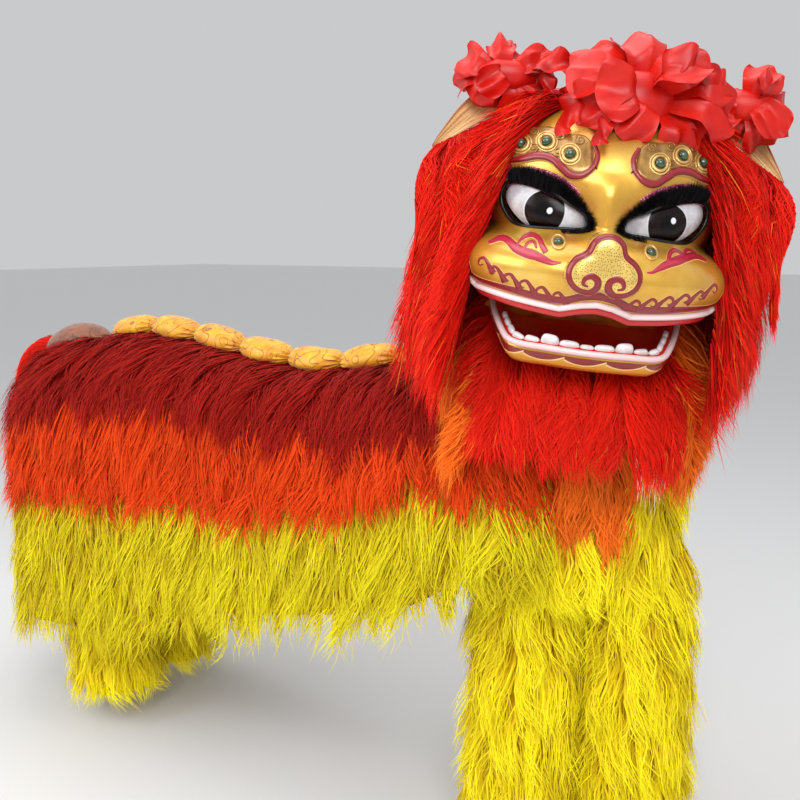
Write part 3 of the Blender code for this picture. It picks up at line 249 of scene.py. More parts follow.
class Paint:
    """A material made of nodes, round one Principled shader."""

    def __init__(self, name, **constants):
        self.material = bpy.data.materials.new(name)
        self.material.use_nodes = True
        self.tree = self.material.node_tree
        self.shader = self.tree.nodes["Principled BSDF"]
        for socket, value in constants.items():
            self.shader.inputs[socket.replace("_", " ").title().replace("Ior", "IOR")].default_value = value

    def node(self, kind, settings, inputs, output=0):
        """Add a node: its settings first, then the values or links of its sockets."""
        made = self.tree.nodes.new(kind)
        for setting, value in settings.items():
            if setting == "stops":
                self.set_stops(made.color_ramp, value)
            else:
                setattr(made, setting, value)
        for socket, value in inputs.items():
            if isinstance(value, Value):
                self.tree.links.new(value.socket, made.inputs[socket])
            else:
                made.inputs[socket].default_value = value
        return Value(self, made.outputs[output])

    @staticmethod
    def set_stops(ramp, stops):
        while len(ramp.elements) < len(stops):
            ramp.elements.new(0.5)
        for element, (place, colour) in zip(ramp.elements, stops):
            element.position = place
            element.color = (*colour, 1.0)

    def place(self, turns=()):
        """Object coordinates, carried into the frame of each (location, degrees) in turn."""
        place = self.node("ShaderNodeTexCoord", {}, {}, "Object")
        for location, degrees in turns:
            rotation = tuple(math.radians(angle) for angle in degrees)
            inputs = {"Vector": place, "Location": location, "Rotation": rotation}
            place = self.node("ShaderNodeMapping", {"vector_type": "TEXTURE"}, inputs)
        return place

    def weave(self):
        """The piece's own map, u across and v along."""
        return self.node("ShaderNodeUVMap", {"uv_map": "Weave"}, {})

    def scaled(self, vector, scale):
        return self.node("ShaderNodeVectorMath", {"operation": "MULTIPLY"}, {0: vector, 1: scale})

    def axis(self, vector, letter):
        return self.node("ShaderNodeSeparateXYZ", {}, {0: vector}, letter)

    def noise(self, vector, scale, detail=3.0, roughness=0.55):
        return self.node("ShaderNodeTexNoise", {},
            {"Vector": vector, "Scale": scale, "Detail": detail, "Roughness": roughness})

    def step(self, value, low, high):
        """0 under low, 1 over high, smooth between them."""
        return self.node(
            "ShaderNodeMapRange",
            {"interpolation_type": "SMOOTHSTEP"},
            {"Value": value, "From Min": low, "From Max": high},
        )

    def spot(self, vector, centre, size, stretch=(1, 1, 1)):
        """1 at a centre, fading to 0 at a distance, over an ellipsoid."""
        centred = self.node("ShaderNodeVectorMath", {"operation": "SUBTRACT"}, {0: vector, 1: centre})
        squeezed = self.scaled(centred, tuple(1 / (size * s) for s in stretch))
        length = self.node("ShaderNodeVectorMath", {"operation": "LENGTH"}, {0: squeezed}, "Value")
        return 1 - self.step(length, 0.0, 1.0)

    def ramp(self, value, *stops):
        return self.node("ShaderNodeValToRGB", {"stops": stops}, {"Fac": value})

    def mix(self, factor, first, second, blend="MIX"):
        """Between two colours, by a factor."""
        inputs = {0: factor}
        for socket, colour in ((6, first), (7, second)):
            inputs[socket] = colour if isinstance(colour, Value) else (*colour, 1.0)
        return self.node("ShaderNodeMix", {"data_type": "RGBA", "blend_type": blend}, inputs, 2)

    def over(self, value, edge):
        """1 over an edge, 0 under it."""
        return self.node("ShaderNodeMath", {"operation": "GREATER_THAN"}, {0: value, 1: edge})

    def fraction(self, value):
        """What is left of a value after its whole number."""
        return self.node("ShaderNodeMath", {"operation": "FRACT"}, {0: value})

    def bump(self, height, strength, distance):
        inputs = {"Height": height, "Strength": strength, "Distance": distance}
        return self.node("ShaderNodeBump", {}, inputs)

    def feed(self, **links):
        """Lead values to the shader's own sockets, and give back the finished material."""
        for socket, value in links.items():
            self.tree.links.new(value.socket, self.shader.inputs[socket.replace("_", " ").title()])
        return self.material


def linear(red, green, blue):
    """A colour as seen on a screen, from 0 to 255 a channel, as light."""
    seen = np.array([red, green, blue]) / 255
    return tuple(float(c) for c in np.where(seen > 0.04045, ((seen + 0.055) / 1.055) ** 2.4, seen / 12.92))


HEAD_TURNS = (((0, 0, 0), (HEAD_PITCH, HEAD_ROLL, HEAD_YAW)),)
JAW_TURNS = (*HEAD_TURNS, (JAW_HINGE, (JAW_OPEN, 0, 0)))


def hair_paint(name, colours):
    """Dyed hair. The map's u picks a dye and a strand's own tone, and v runs from its root to its tip.

    colours are the dyes as (root, middle, tip), the root darkened as painted shade and the tip
    lightened as painted light. Each dye holds an equal share of u, and within its share u from low
    to high takes a strand from its dark tone to its light one.
    """
    paint = Paint(name, roughness=0.62, specular_ior_level=0.12, sheen_weight=0.03, sheen_roughness=0.4)
    place = paint.weave()
    u, v = paint.axis(place, "X"), paint.axis(place, "Y")
    count = len(colours)
    colour = None
    for index, (root, middle, tip) in enumerate(colours):
        dye = paint.ramp(v, (0.0, root), (0.3, middle), (1.0, tip))
        colour = dye if colour is None else paint.mix(paint.over(u, index / count), colour, dye)
    tone = paint.fraction(u * count)
    shade = paint.ramp(tone, (0.0, (0.76, 0.64, 0.6)), (0.45, (0.97, 0.95, 0.92)), (1.0, (1.18, 1.24, 1.2)))
    streak = paint.noise(paint.scaled(place, (900.0, 3.0, 1.0)), 1.0, 2.0)
    grey = paint.ramp(streak, (0.3, (0.84, 0.78, 0.78)), (0.7, (1.12, 1.12, 1.12)))
    toned = paint.mix(1.0, colour, shade, "MULTIPLY")
    return paint.feed(base_color=paint.mix(1.0, toned, grey, "MULTIPLY"))


DYES = ("red", "orange", "yellow", "white")
GROUND = -1.381


class Guide:
    """A surface that fur lies on: columns side by side, each read by its distance down from the root."""

    STEP = 0.01

    def __init__(self, columns, wrap, away):
        """columns is a grid of points (column, row); away gives a point that each normal turns from."""
        lengths = np.linalg.norm(np.diff(columns, axis=1), axis=2)
        reach = np.concatenate([np.zeros((len(columns), 1)), np.cumsum(lengths, axis=1)], axis=1)
        count = int(reach[:, -1].max() / self.STEP) + 30
        wanted = np.arange(count) * self.STEP
        self.wrap = wrap
        self.points = np.zeros((len(columns), count, 3))
        for column, (points, distance) in enumerate(zip(columns, reach)):
            for axis in range(3):
                self.points[column, :, axis] = np.interp(wanted, distance, points[:, axis])
            beyond = np.maximum(wanted - distance[-1], 0)
            self.points[column, :, 2] -= beyond
        self.reach = reach
        points = self.points
        across = np.roll(points, -1, 0) - np.roll(points, 1, 0) if wrap else np.gradient(points, axis=0)
        normal = unit(np.cross(across, np.gradient(self.points, axis=1)))
        outward = self.points - np.asarray(away)
        normal *= np.where((normal * outward).sum(-1, keepdims=True) < 0, -1, 1)
        self.normal = unit(normal + np.array([0, 0, 1e-4]))
        gap = np.linalg.norm(across, axis=2).mean()
        self.spacing = gap / 2 if wrap else gap

    def read(self, field, column, distance):
        """Bilinear reading of a field at places given by column and distance down."""
        columns, rows = field.shape[:2]
        if self.wrap:
            column = np.mod(column, columns)
        else:
            column = np.clip(column, 0, columns - 1.0001)
        row = np.clip(distance / self.STEP, 0, rows - 1.001)
        left, top = column.astype(int), row.astype(int)
        right = (left + 1) % columns
        fx, fy = (column - left)[..., None], (row - top)[..., None]
        upper = field[left, top] * (1 - fx) + field[right, top] * fx
        lower = field[left, top + 1] * (1 - fx) + field[right, top + 1] * fx
        return upper * (1 - fy) + lower * fy


def ribbons(left, right, u):
    """The points, faces and map of hairs between two edges; u is given, v runs from root to tip."""
    count, rungs = left.shape[:2]
    verts = np.stack([left, right], axis=2).reshape(-1, 3)
    base = np.arange(count)[:, None] * rungs * 2 + np.arange(rungs - 1)[None, :] * 2
    quads = np.stack([base, base + 1, base + 3, base + 2], axis=-1).reshape(-1, 4)
    edge = np.linspace(0, 1, rungs)
    v = np.stack([edge[:-1], edge[:-1], edge[1:], edge[1:]], axis=-1)[None].repeat(count, axis=0)
    return verts, quads, np.stack([u, v], axis=-1).reshape(-1, 4, 2), np.zeros(len(quads), int)


def strand_patch(guide, rng, column, start, length, dye, lift, width, locks, fall=0.0, kinks=4, wave=0.006,
    flare=0.012):
    """Tapered ribbons of hair that follow a guide down from their roots, drawn together into locks.

    column and start place each root; lift is the height over the guide at root and tip;
    locks is (spacing of the locks in metres, share by which tips are drawn together).
    The ribbon's half width falls as 1 - t^3 along it. Its middle line wanders as a slow sine of t,
    whose phase is nearly the same within a lock, so a lock waves as one.
    """
    count = len(column)
    t = np.linspace(0, 1, kinks + 1)[None, :]
    dye = np.broadcast_to(dye, (count,))
    spacing, pull = locks
    per_lock = spacing / guide.spacing
    row_of_locks = np.floor(start / 0.055)
    stagger = np.mod(row_of_locks * 0.37, 1.0)
    lock = np.round(column / per_lock + stagger)
    hashed = np.mod(np.sin(lock * 12.9898 + row_of_locks * 78.233) * 43758.5453, 1.0)
    centre = (lock - stagger + 0.5 * (hashed - 0.5)) * per_lock
    small = np.round(column / (per_lock * 0.28)) * per_lock * 0.28
    target = centre * 0.6 + small * 0.4
    path_column = column[:, None] + (target - column)[:, None] * pull * t**1.6
    phase = 2 * math.pi * np.mod(hashed * 7.31, 1.0)[:, None] + rng.normal(0, 0.6, (count, 1))
    sway = wave * (0.5 + rng.random((count, 1))) / guide.spacing
    path_column = path_column + sway * t * np.sin(phase + t * 5.0) + (hashed[:, None] - 0.5) * 1.6 * sway * t
    reach = length * (0.86 + 0.2 * hashed)
    distance = start[:, None] + reach[:, None] * t
    low, high = (np.broadcast_to(value, (count,))[:, None] for value in lift)
    height = low + (high - low) * (0.45 + 0.75 * rng.random((count, 1))) * (1 - (1 - t) ** 1.7)
    height = height + 0.4 * wave * t * np.sin(1.7 * phase + t * 5.0)
    height = height + (hashed[:, None] - 0.5) * 0.25 * high * t + flare * hashed[:, None] ** 2 * t**3
    points = guide.read(guide.points, path_column, distance)
    normal = guide.read(guide.normal, path_column, distance)
    points = points + unit(normal) * height[..., None]
    points[..., 2] = np.maximum(points[..., 2] - fall * (t**2) * length[:, None], GROUND + 0.004)
    along = unit(np.gradient(points, axis=1))
    side = unit(np.cross(normal, along))
    roll = rng.normal(0, 0.45, (count, 1, 1))
    side = unit(side * np.cos(roll) + unit(normal) * np.sin(roll))
    half = (width * (0.6 + 0.8 * rng.random((count, 1))) / 2 * (1.02 - t**3))[..., None]
    tone = np.clip(0.5 + 0.62 * (hashed - 0.5) + rng.normal(0, 0.13, count), 0.02, 0.98)
    place = (dye + 0.03 + 0.94 * tone) / len(DYES)
    left, right = points - side * half, points + side * half
    band = 0.003
    u = np.stack([place - band, place + band, place + band, place - band], axis=-1)
    return ribbons(left, right, u[:, None].repeat(kinks, axis=1))


def undercoat(guide, first, last, start, end, lift, dye, columns=90, rows=14):
    """The close short fur under the strands: the guide itself, raised a little and rippled into locks."""
    column = np.linspace(first, last, columns)[None, :] + np.zeros((rows, 1))
    amount = np.linspace(0, 1, rows)[:, None]
    low = np.interp(column[0], *start) if isinstance(start, tuple) else np.full(columns, start)
    high = np.interp(column[0], *end) if isinstance(end, tuple) else np.full(columns, end)
    distance = low[None] + (high - low)[None] * amount
    points = guide.read(guide.points, column, distance)
    normal = unit(guide.read(guide.normal, column, distance))
    ripple = 0.25 * np.sin(column * 2.1 + 3 * amount) + 0.2 * np.sin(column * 5.3)
    height = (lift[0] + (lift[1] - lift[0]) * amount) * (1 + ripple)
    points = points + normal * height[..., None]
    # The undercoat takes the darkest tones of its dye: painted shade deep under the strands.
    u = (dye + 0.08 + 0.1 * np.mod(np.arange(columns) * 0.618, 1)) / len(DYES)
    return patch(points, u=u, v=0.25 + 0.3 * np.linspace(0, 1, rows), flip=True)


def make_fur(name, patches, body="costume", replaces=(), depth=1.0):
    """A piece of fur. Its ribbons aren't merged, because each has two free edges."""
    dyes = bpy.context.scene.costume_dyes
    # depth darkens every dye of the piece; on the skin's red band it is painted shade.
    depth = np.array(depth)
    colours = [tuple(tuple(c * depth) for c in dye_with_root_shade_tip_light(getattr(dyes, dye))) for dye in DYES]
    paint = hair_paint("hair_" + name, colours)
    fur = make_piece(name, patches, paint, body, replaces, close=False)
    fur.data.uv_layers.new(name="OFBake")
    fur.data.uv_layers.active_index = 0
    fur.data.uv_layers[0].active_render = True
    return fur


def dye_with_root_shade_tip_light(colour):
    """A dye at a strand's root, middle and tip: the root darkened as painted shade, the tip lightened as
    painted light.
    """
    base = np.array(colour[:3])
    return base**1.3 * np.array([0.78, 0.58,
        0.5]), base * 0.95, np.minimum(base * 1.18 + np.array([0.02, 0.004, 0.0]), 1.0)


# The skin's section: place along the body, half width, ridge, red over orange, orange over yellow, hem.
SKIN_TABLE = np.array((
    (-0.12, 0.225, 1.15, 1.0, 0.88, 0.7),
    (-0.3, 0.218, 1.13, 0.97, 0.86, 0.58),
    (-0.5, 0.21, 1.098, 0.925, 0.79, 0.51),
    (-0.7, 0.203, 1.07, 0.915, 0.735, 0.46),
    (-0.9, 0.205, 1.086, 0.935, 0.72, 0.42),
    (-1.1, 0.228, 1.118, 0.945, 0.705, 0.35),
    (-1.3, 0.255, 1.136, 0.93, 0.685, 0.29),
    (-1.5, 0.272, 1.105, 0.9, 0.67, 0.285),
    (-1.775, 0.0, 1.06, 0.87, 0.65, 0.23),
))
SKIN_MID_Y, SKIN_FRONT, SKIN_STERN = 0.02, -0.02, -1.5


def skin_row(place, column):
    """A column of the skin's table, read at places along the body."""
    return np.interp(-place, -SKIN_TABLE[:, 0], SKIN_TABLE[:, column])


def skin_guide(out=0.0):
    """The skin from its ridge to its hem: a quarter ellipse over the shoulder, then straight down.

    The columns run from the near front round the rump to the far front.
    """
    length = np.linspace(SKIN_FRONT, SKIN_STERN, 74)
    width = skin_row(length, 1) * (1 - 0.34 * (np.maximum(length + 0.13, 0) / 0.11) ** 2)
    stern = np.linspace(0, math.pi, 42)[1:-1]
    back = width[-1] * np.sin(stern)
    x = np.concatenate([length, SKIN_STERN - back, length[::-1]])
    y = np.concatenate([-width, -width[-1] * np.cos(stern), width[::-1]])
    ridge_x = np.concatenate([length, np.full(len(stern), SKIN_STERN), length[::-1]])
    place = x
    ridge, red, orange, hem = (skin_row(place, k) for k in (2, 3, 4, 5))
    ridge = skin_row(ridge_x, 2)
    reach = np.stack([x - ridge_x, y], axis=1)
    angle = np.radians(np.linspace(0, 84, 18))
    across = np.sin(angle) / math.sin(math.radians(84))
    down = (1 - np.cos(angle)) / (1 - math.cos(math.radians(84)))
    columns = np.zeros((len(x), 24, 3))
    columns[:, :18, 0] = ridge_x[:, None] + reach[:, :1] * across
    columns[:, :18, 1] = reach[:, 1:] * across
    columns[:, :18, 2] = ridge[:, None] + (red + 0.02 - ridge)[:, None] * down
    for row, (height, flare) in enumerate((
        ((red + orange) / 2, 1.0), (orange + 0.02, 1.01), ((orange + hem) / 2, 1.02),
        (hem, 1.04), (hem - 0.1, 1.04), (hem - 0.2, 1.04),
    )):
        columns[:, 18 + row, 0] = ridge_x + reach[:, 0] * flare
        columns[:, 18 + row, 1] = reach[:, 1] * flare
        columns[:, 18 + row, 2] = height
    columns[..., 1] += SKIN_MID_Y
    guide = Guide(placed(FLOOR, columns), False,
        placed(FLOOR, np.stack([ridge_x, np.full(len(x), SKIN_MID_Y), np.full(len(x), 0.8)], axis=1))[:, None])
    edges = []
    for height in (red, orange, hem):
        edges.append(np.array([
            np.interp(-h, -column[:, 2], distance) for h, column, distance in zip(height, columns, guide.reach)
        ]))
    return guide, edges


def band_strands(guide, rng, count, start, end, length, dye, lift, width, locks, tips=0.03, column=None,
    **more):
    """Strands whose roots lie between two edges of a guide and whose tips don't pass the lower edge by much."""
    last = len(guide.points) - (0 if guide.wrap else 1)
    if column is None:
        column = rng.uniform(0, last, count)
    index = np.arange(len(guide.points))
    low = np.interp(column, index, np.broadcast_to(start, index.shape))
    high = np.interp(column, index, np.broadcast_to(end, index.shape))
    lock = np.mod(np.sin(np.round(column / 0.9) * 12.9898) * 43758.5453, 1.0) - 0.5
    high = high + 0.05 * lock + 0.018 * np.sin(column * 0.35) + 0.012 * np.sin(column * 0.83 + 1)
    root = low + (high - tips * 1.2 - low) * rng.random(count) ** 0.92
    reach = length * rng.uniform(0.75, 1.1, count)
    reach = np.minimum(reach, np.maximum(high - root + tips * rng.normal(0.25, 0.6, count), 0.04))
    return strand_patch(guide, rng, column, root, reach, dye, lift, width, locks, **more)


def furred_guide(rings, matrix, middle):
    """A guide round a garment's tube, from rows of (x, y, z, half x, half y)."""
    angle = np.linspace(0, 2 * math.pi, 72, endpoint=False)
    rows = np.asarray(rings, float)
    columns = np.zeros((72, len(rows), 3))
    columns[..., 0] = rows[:, 0] + rows[:, 3] * np.sin(angle)[:, None]
    columns[..., 1] = rows[:, 1] - rows[:, 4] * np.cos(angle)[:, None]
    columns[..., 2] = rows[:, 2]
    away = placed(matrix, rows[:, :3].copy())
    guide = Guide(placed(matrix, columns), True, away.mean(axis=0))
    return guide


def stray(rng, count):
    """Red dye with a few orange strands in it."""
    return np.where(rng.random(count) < 0.03, 1, 0)


def tiers(guide, rng, count, top, bottom, number, length, dye, lift, width, locks, **more):
    """Strands sewn in rows one over another, each row's tips over the roots of the next."""
    row = rng.integers(0, number, count)
    pitch = (bottom - top) / number
    column = rng.uniform(0, len(guide.points), count)
    root = top + pitch * (row + 0.55 * rng.random(count) ** 1.5)
    reach = length * rng.uniform(0.75, 1.1, count)
    reach = np.minimum(reach, bottom + 0.03 - root + rng.normal(0, 0.012, count))
    dye = dye(column, root, rng) if callable(dye) else dye
    return strand_patch(guide, rng, column, root, np.maximum(reach, 0.05), dye, lift, width, locks, **more)


# Profiles of the mane as radius and height at three azimuths, from the crown to the tips.
MANE_PROFILES = {
    70: ((0.05, 0.284), (0.148, 0.236), (0.212, 0.15), (0.232, 0.1), (0.254, 0.02), (0.272, -0.06),
        (0.28, -0.16), (0.268, -0.3)),
    100: ((0.05, 0.284), (0.15, 0.24), (0.216, 0.165), (0.262, 0.11), (0.3, 0.04), (0.318, -0.06),
        (0.318, -0.16), (0.292, -0.3)),
    180: ((0.03, 0.286), (0.13, 0.262), (0.18, 0.222), (0.228, 0.175), (0.27, 0.08), (0.284, -0.03),
        (0.272, -0.12), (0.25, -0.23)),
}


def mane_guide():
    """The mane's under surface over the back and both sides of the head, in the head's frame."""
    azimuth = np.linspace(52, 308, 87)
    folded = np.clip(np.where(azimuth > 180, 360 - azimuth, azimuth), 70, 180)
    keys = sorted(MANE_PROFILES)
    table = np.array([MANE_PROFILES[key] for key in keys])
    columns = np.zeros((len(azimuth), table.shape[1], 3))
    for row in range(table.shape[1]):
        radius = np.interp(folded, keys, table[:, row, 0])
        columns[:, row, 0] = radius * np.sin(np.radians(azimuth))
        columns[:, row, 1] = -radius * np.cos(np.radians(azimuth)) * 0.92
        columns[:, row, 2] = np.interp(folded, keys, table[:, row, 1])
    columns = np.stack([smooth_path(column, 30) for column in columns])
    return Guide(placed(HEAD, columns), False, placed(HEAD, np.array([0.0, 0.0, 0.0])))


def lock_guide(paths, matrix, away):
    """A guide through a few hanging paths, side by side."""
    paths = np.asarray(paths, float)
    runs = np.stack([smooth_path(path, 24) for path in paths])
    between = np.stack([smooth_path(runs[:, row], 40) for row in range(24)], axis=1)
    return Guide(placed(matrix, between), False, placed(matrix, np.asarray(away, float)))


# How much darker than its dye each band of the skin is, as red, green and blue; for the red band this darkening
# is painted shade over the back.
SKIN_DEPTH_AND_SHADE = ((0.44, 0.44, 0.44), (0.8, 0.3, 0.2), (0.78, 0.78, 0.78))


class COSTUME_OT_skin_fur(bpy.types.Operator):
    """Comb the red, orange and yellow fur of the skin over its cloth"""

    bl_idname = "costume.skin_fur"
    bl_label = "Skin Fur"

    def execute(self, context):
        sizes = context.scene.costume_sizes
        guide, (red, orange, hem) = skin_guide()
        last = len(guide.points) - 1
        zero = np.zeros(last + 1)
        index = np.arange(last + 1)
        bands = (
            ("hair_red", "fur_red", 0, zero, red, 0.01, 0.03, 16800),
            ("hair_orange", "fur_orange", 1, red - 0.085, orange, 0.01, 0.038, 15000),
            ("hair_yellow", "fur_yellow", 2, orange - 0.085, hem, 0.01, 0.036, 17200),
        )
        for seed, (name, node, dye, start, end, low, high, count) in enumerate(bands):
            rng = np.random.default_rng(11 + seed)
            coat = undercoat(guide, 0, last, (index, np.maximum(start, 0)), (index, end - 0.05),
                (0.004, 0.014), dye, 260, 16)
            hair = band_strands(
                guide, rng, int(count * sizes.hair_count), start, end, sizes.hair_length, dye, (low * 0.5,
                    high),
                sizes.hair_width, (0.06, 0.84), 0.055, wave=0.018, kinks=5, flare=0.02,
            )
            make_fur(name, [coat, hair], replaces=[node], depth=SKIN_DEPTH_AND_SHADE[dye])
        return {"FINISHED"}


class COSTUME_OT_garments(bpy.types.Operator):
    """Comb the fur of the jacket and of both pairs of trousers"""

    bl_idname = "costume.garments"
    bl_label = "Jacket and Trousers"

    def execute(self, context):
        sizes = context.scene.costume_sizes
        width = sizes.hair_width
        rng = np.random.default_rng(31)
        top = furred_guide(
            ((0, 0, 1.135, 0.1, 0.08), (0, 0, 1.1, 0.15, 0.108), (0, 0, 1.0, 0.168, 0.128),
                (0, 0, 0.86, 0.17, 0.13), (0, 0, 0.7, 0.168, 0.128)),
            WEARER, None)
        hair = tiers(top, rng, int(13500 * sizes.hair_count), 0.02, 0.47, 5, 0.16, self.jacket_dye,
            (0.006, 0.044), width, (0.05, 0.82), wave=0.014, flare=0.018)
        coat = undercoat(top, 0, 72, 0.0, 0.42, (0.003, 0.01), 2, 73, 12)
        make_fur("hair_jacket", [coat, hair], replaces=["jacket"])
        front = [self.leg(rng, WEARER, rows, sizes, 8600) for rows in (
            ((-0.107, 0.004, 0.76, 0.092, 0.092), (-0.112, 0.003, 0.55, 0.094, 0.094),
                (-0.128, 0, 0.035, 0.09, 0.09)),
            ((0.104, -0.003, 0.76, 0.092, 0.092), (0.112, -0.002, 0.55, 0.094, 0.094),
                (0.128, 0, 0.035, 0.09, 0.09)),
        )]
        hips = furred_guide(((0, 0, 0.93, 0.155, 0.115), (0, 0, 0.74, 0.158, 0.118),
            (0, 0, 0.66, 0.16, 0.12)), WEARER, None)
        front.append([undercoat(hips, 0, 72, 0.0, 0.26, (0.0, 0.002), 2, 73, 6)])
        make_fur("hair_front_trousers", sum(front, []), replaces=["front_trousers"])
        rear = [self.leg(rng, FLOOR, rows, sizes, 6000) for rows in (
            ((-1.45, -0.07, 0.8, 0.092, 0.092), (-1.435, -0.08, 0.5, 0.094, 0.094),
                (-1.41, -0.095, 0.035, 0.09, 0.09)),
            ((-1.45, 0.14, 0.8, 0.092, 0.092), (-1.435, 0.147, 0.5, 0.094, 0.094),
                (-1.41, 0.155, 0.035, 0.09, 0.09)),
        )]
        sections = (
            (-1.4, 0.03, 1.0, 0.16, 0.17), (-1.43, 0.03, 0.86, 0.165, 0.175), (-1.45, 0.03, 0.73, 0.15, 0.168),
        )
        hips = furred_guide(sections, FLOOR, None)
        rear.append([undercoat(hips, 0, 72, 0.0, 0.26, (0.0, 0.003), 2, 73, 6)])
        make_fur("hair_rear_trousers", sum(rear, []), replaces=["rear_trousers"])
        return {"FINISHED"}

    @staticmethod
    def jacket_dye(column, root, rng):
        """Yellow, with an orange patch low on the chest's middle and orange under the mane."""
        turn = np.mod(column / 72 + 0.5, 1.0) - 0.5
        patch_here = (np.abs(turn + 0.01) < 0.075) & (root > 0.1) & (root < 0.27)
        upper = root < 0.13
        return np.where(patch_here | upper, 1, 2)

    @staticmethod
    def leg(rng, matrix, rows, sizes, count):
        guide = furred_guide(rows, matrix, None)
        hair = tiers(guide, rng, int(count * sizes.hair_count), -0.02, 0.7, 6, 0.165, 2, (0.004, 0.052),
            sizes.hair_width, (0.055, 0.84), wave=0.014, flare=0.022)
        return [undercoat(guide, 0, 72, 0.0, 0.72, (0.001, 0.006), 2, 73, 20), hair]


class COSTUME_OT_mane(bpy.types.Operator):
    """Comb the mane, the chest fur, the ears' long fur and the tail's plume"""

    bl_idname = "costume.mane"
    bl_label = "Mane and Plumes"

    def execute(self, context):
        sizes = context.scene.costume_sizes
        width = sizes.hair_width
        guide = mane_guide()
        last = len(guide.points) - 1
        halves = (("hair_mane_left", 0, 0.52, ["mane"]), ("hair_mane_right", 0.48, 1, []))
        for seed, (name, low, high, nodes) in enumerate(halves):
            rng = np.random.default_rng(51 + seed)
            count = int(18800 * sizes.hair_count)
            column = rng.uniform(low * last, high * last, count)
            root = 0.52 * rng.random(count) ** 1.1
            reach = sizes.hair_length * 1.05 * rng.uniform(0.6, 1.25, count)
            hair = strand_patch(guide, rng, column, root, reach, stray(rng, count), (0.004, 0.038), width,
                (0.055, 0.8), wave=0.016, flare=0.036)
            coat = undercoat(guide, low * last, high * last, 0.0, 0.5, (0.003, 0.012), 0, 110, 30)
            make_fur(name, [coat, hair], replaces=nodes)
        self.chest(sizes)
        for side, sign in SIDES.items():
            self.ear(side, sign, sizes)
        self.tail(sizes)
        return {"FINISHED"}

    @staticmethod
    def chest(sizes):
        rng = np.random.default_rng(61)
        rows = ((0.202, 0.098, -0.192), (0.226, 0.152, -0.236), (0.242, 0.192, -0.29), (0.25, 0.212, -0.355),
            (0.252, 0.214, -0.445))
        paths = [
            [
                (0.014 + wide * math.sin(turned), 0.06 - deep * math.cos(turned),
                    z + rise * rounded((abs(turned) - 0.8) / 0.5))
                for (wide, deep, z), rise in zip(rows, (0.095, 0.06, 0.03, 0.0, 0.0))
            ]
            for turned in np.radians(np.linspace(-100, 100, 21))
        ]
        guide = lock_guide(paths, HEAD, (0, 0.1, -0.25))
        last = len(guide.points) - 1
        count = int(15500 * sizes.hair_count)
        column = rng.uniform(0, last, count)
        off = np.abs(column / last - 0.5)
        root = rng.uniform(0.0, 0.13 + 0.1 * rounded((off - 0.22) / 0.12), count)
        reach = 0.135 * rng.uniform(0.6, 1.2, count)
        flank = off + 0.45 * root + rng.normal(0, 0.012, count)
        near = column < last / 2
        orange = (flank > 0.3) & (~near | (root > 0.06 + rng.normal(0, 0.01, count)))
        dye = np.where(orange | ((rng.random(count) < 0.03) & (root > 0.1)), 1, 0)
        hair = strand_patch(guide, rng, column, root, reach, dye, (0.003, 0.03), sizes.hair_width,
            (0.05, 0.8), wave=0.016, flare=0.03)
        pale = strand_patch(
            guide, rng, rng.normal(last * 0.66, 0.7, 34), rng.uniform(0.11, 0.17, 34),
            rng.uniform(0.1, 0.17, 34), 3, (0.014, 0.034), 0.0018, (0.05, 0.9), wave=0.012)
        coat = undercoat(guide, 0, last, 0.0, 0.19, (0.002, 0.01), 0, 60, 14)
        make_fur("hair_chest", [coat, hair, pale], replaces=["chest_mane"])

    @staticmethod
    def ear(side, sign, sizes):
        rng = np.random.default_rng(71 + sign)
        paths = []
        for share in np.linspace(0, 1, 6):
            edge = np.array((0.165 + 0.155 * share, -0.012 - 0.03 * share, 0.262 - 0.095 * share))
            middle = edge + np.array((0.012 + 0.016 * share, -0.018, -0.07))
            low = np.array((0.228 + 0.112 * share, -0.048 - 0.014 * share, 0.02))
            tip = np.array((0.236 + 0.1 * share, -0.052, -0.075))
            paths.append(np.stack([edge, middle, low, tip]) * np.array([sign, 1, 1]))
        guide = lock_guide(paths, HEAD, (0, 0.05, 0.05))
        last = len(guide.points) - 1
        count = int(5200 * sizes.hair_count)
        column = rng.uniform(0, last, count)
        root = 0.16 * rng.random(count) ** 1.2
        reach = 0.17 * rng.uniform(0.55, 1.1, count) * (1 - 0.25 * (column / last))
        hair = strand_patch(guide, rng, column, root, reach, stray(rng, count), (0.002, 0.04),
            sizes.hair_width, (0.05, 0.8), wave=0.02, flare=0.04)
        make_fur("hair_ear_" + side, [undercoat(guide, 0, last, 0.0, 0.17, (0.0, 0.006), 0, 40, 14), hair],
            replaces=["ear_fur_" + side])

    @staticmethod
    def tail(sizes):
        rng = np.random.default_rng(81)
        paths = []
        for turned in np.radians(np.linspace(0, 360, 13)[:-1]):
            side, out = 0.045 * math.sin(turned), 0.02 * math.cos(turned)
            paths.append([
                (-1.715, SKIN_MID_Y - 0.01 + side * 0.5, 1.082 + out * 0.4), (-1.785, SKIN_MID_Y - 0.01 + side,
                    1.072 + out),
                (-1.842 - out, SKIN_MID_Y - 0.01 + side * 1.2, 1.0 + out * 0.3), (-1.856 - out,
                    SKIN_MID_Y - 0.01 + side, 0.9),
                (-1.858 - out * 0.6, SKIN_MID_Y - 0.01 + side * 0.6, 0.79),
            ])
        runs = np.stack([smooth_path(path, 30) for path in paths])
        guide = Guide(placed(FLOOR, runs), True, placed(FLOOR, np.array([-1.7, 0.01, 0.95])))
        middle = guide.points.mean(axis=0)
        guide.normal = unit(guide.points - middle[None])
        count = int(5200 * sizes.hair_count)
        column = rng.uniform(0, 12, count)
        root = 0.22 * rng.random(count)
        hair = strand_patch(guide, rng, column, root, 0.15 * rng.uniform(0.7, 1.1, count), 0, (0.002, 0.016),
            sizes.hair_width, (0.05, 0.5), wave=0.006)
        make_fur("hair_tail", [undercoat(guide, 0, 12, 0.0, 0.28, (0.0, 0.002), 0, 25, 14), hair],
            replaces=["tail_fur"])


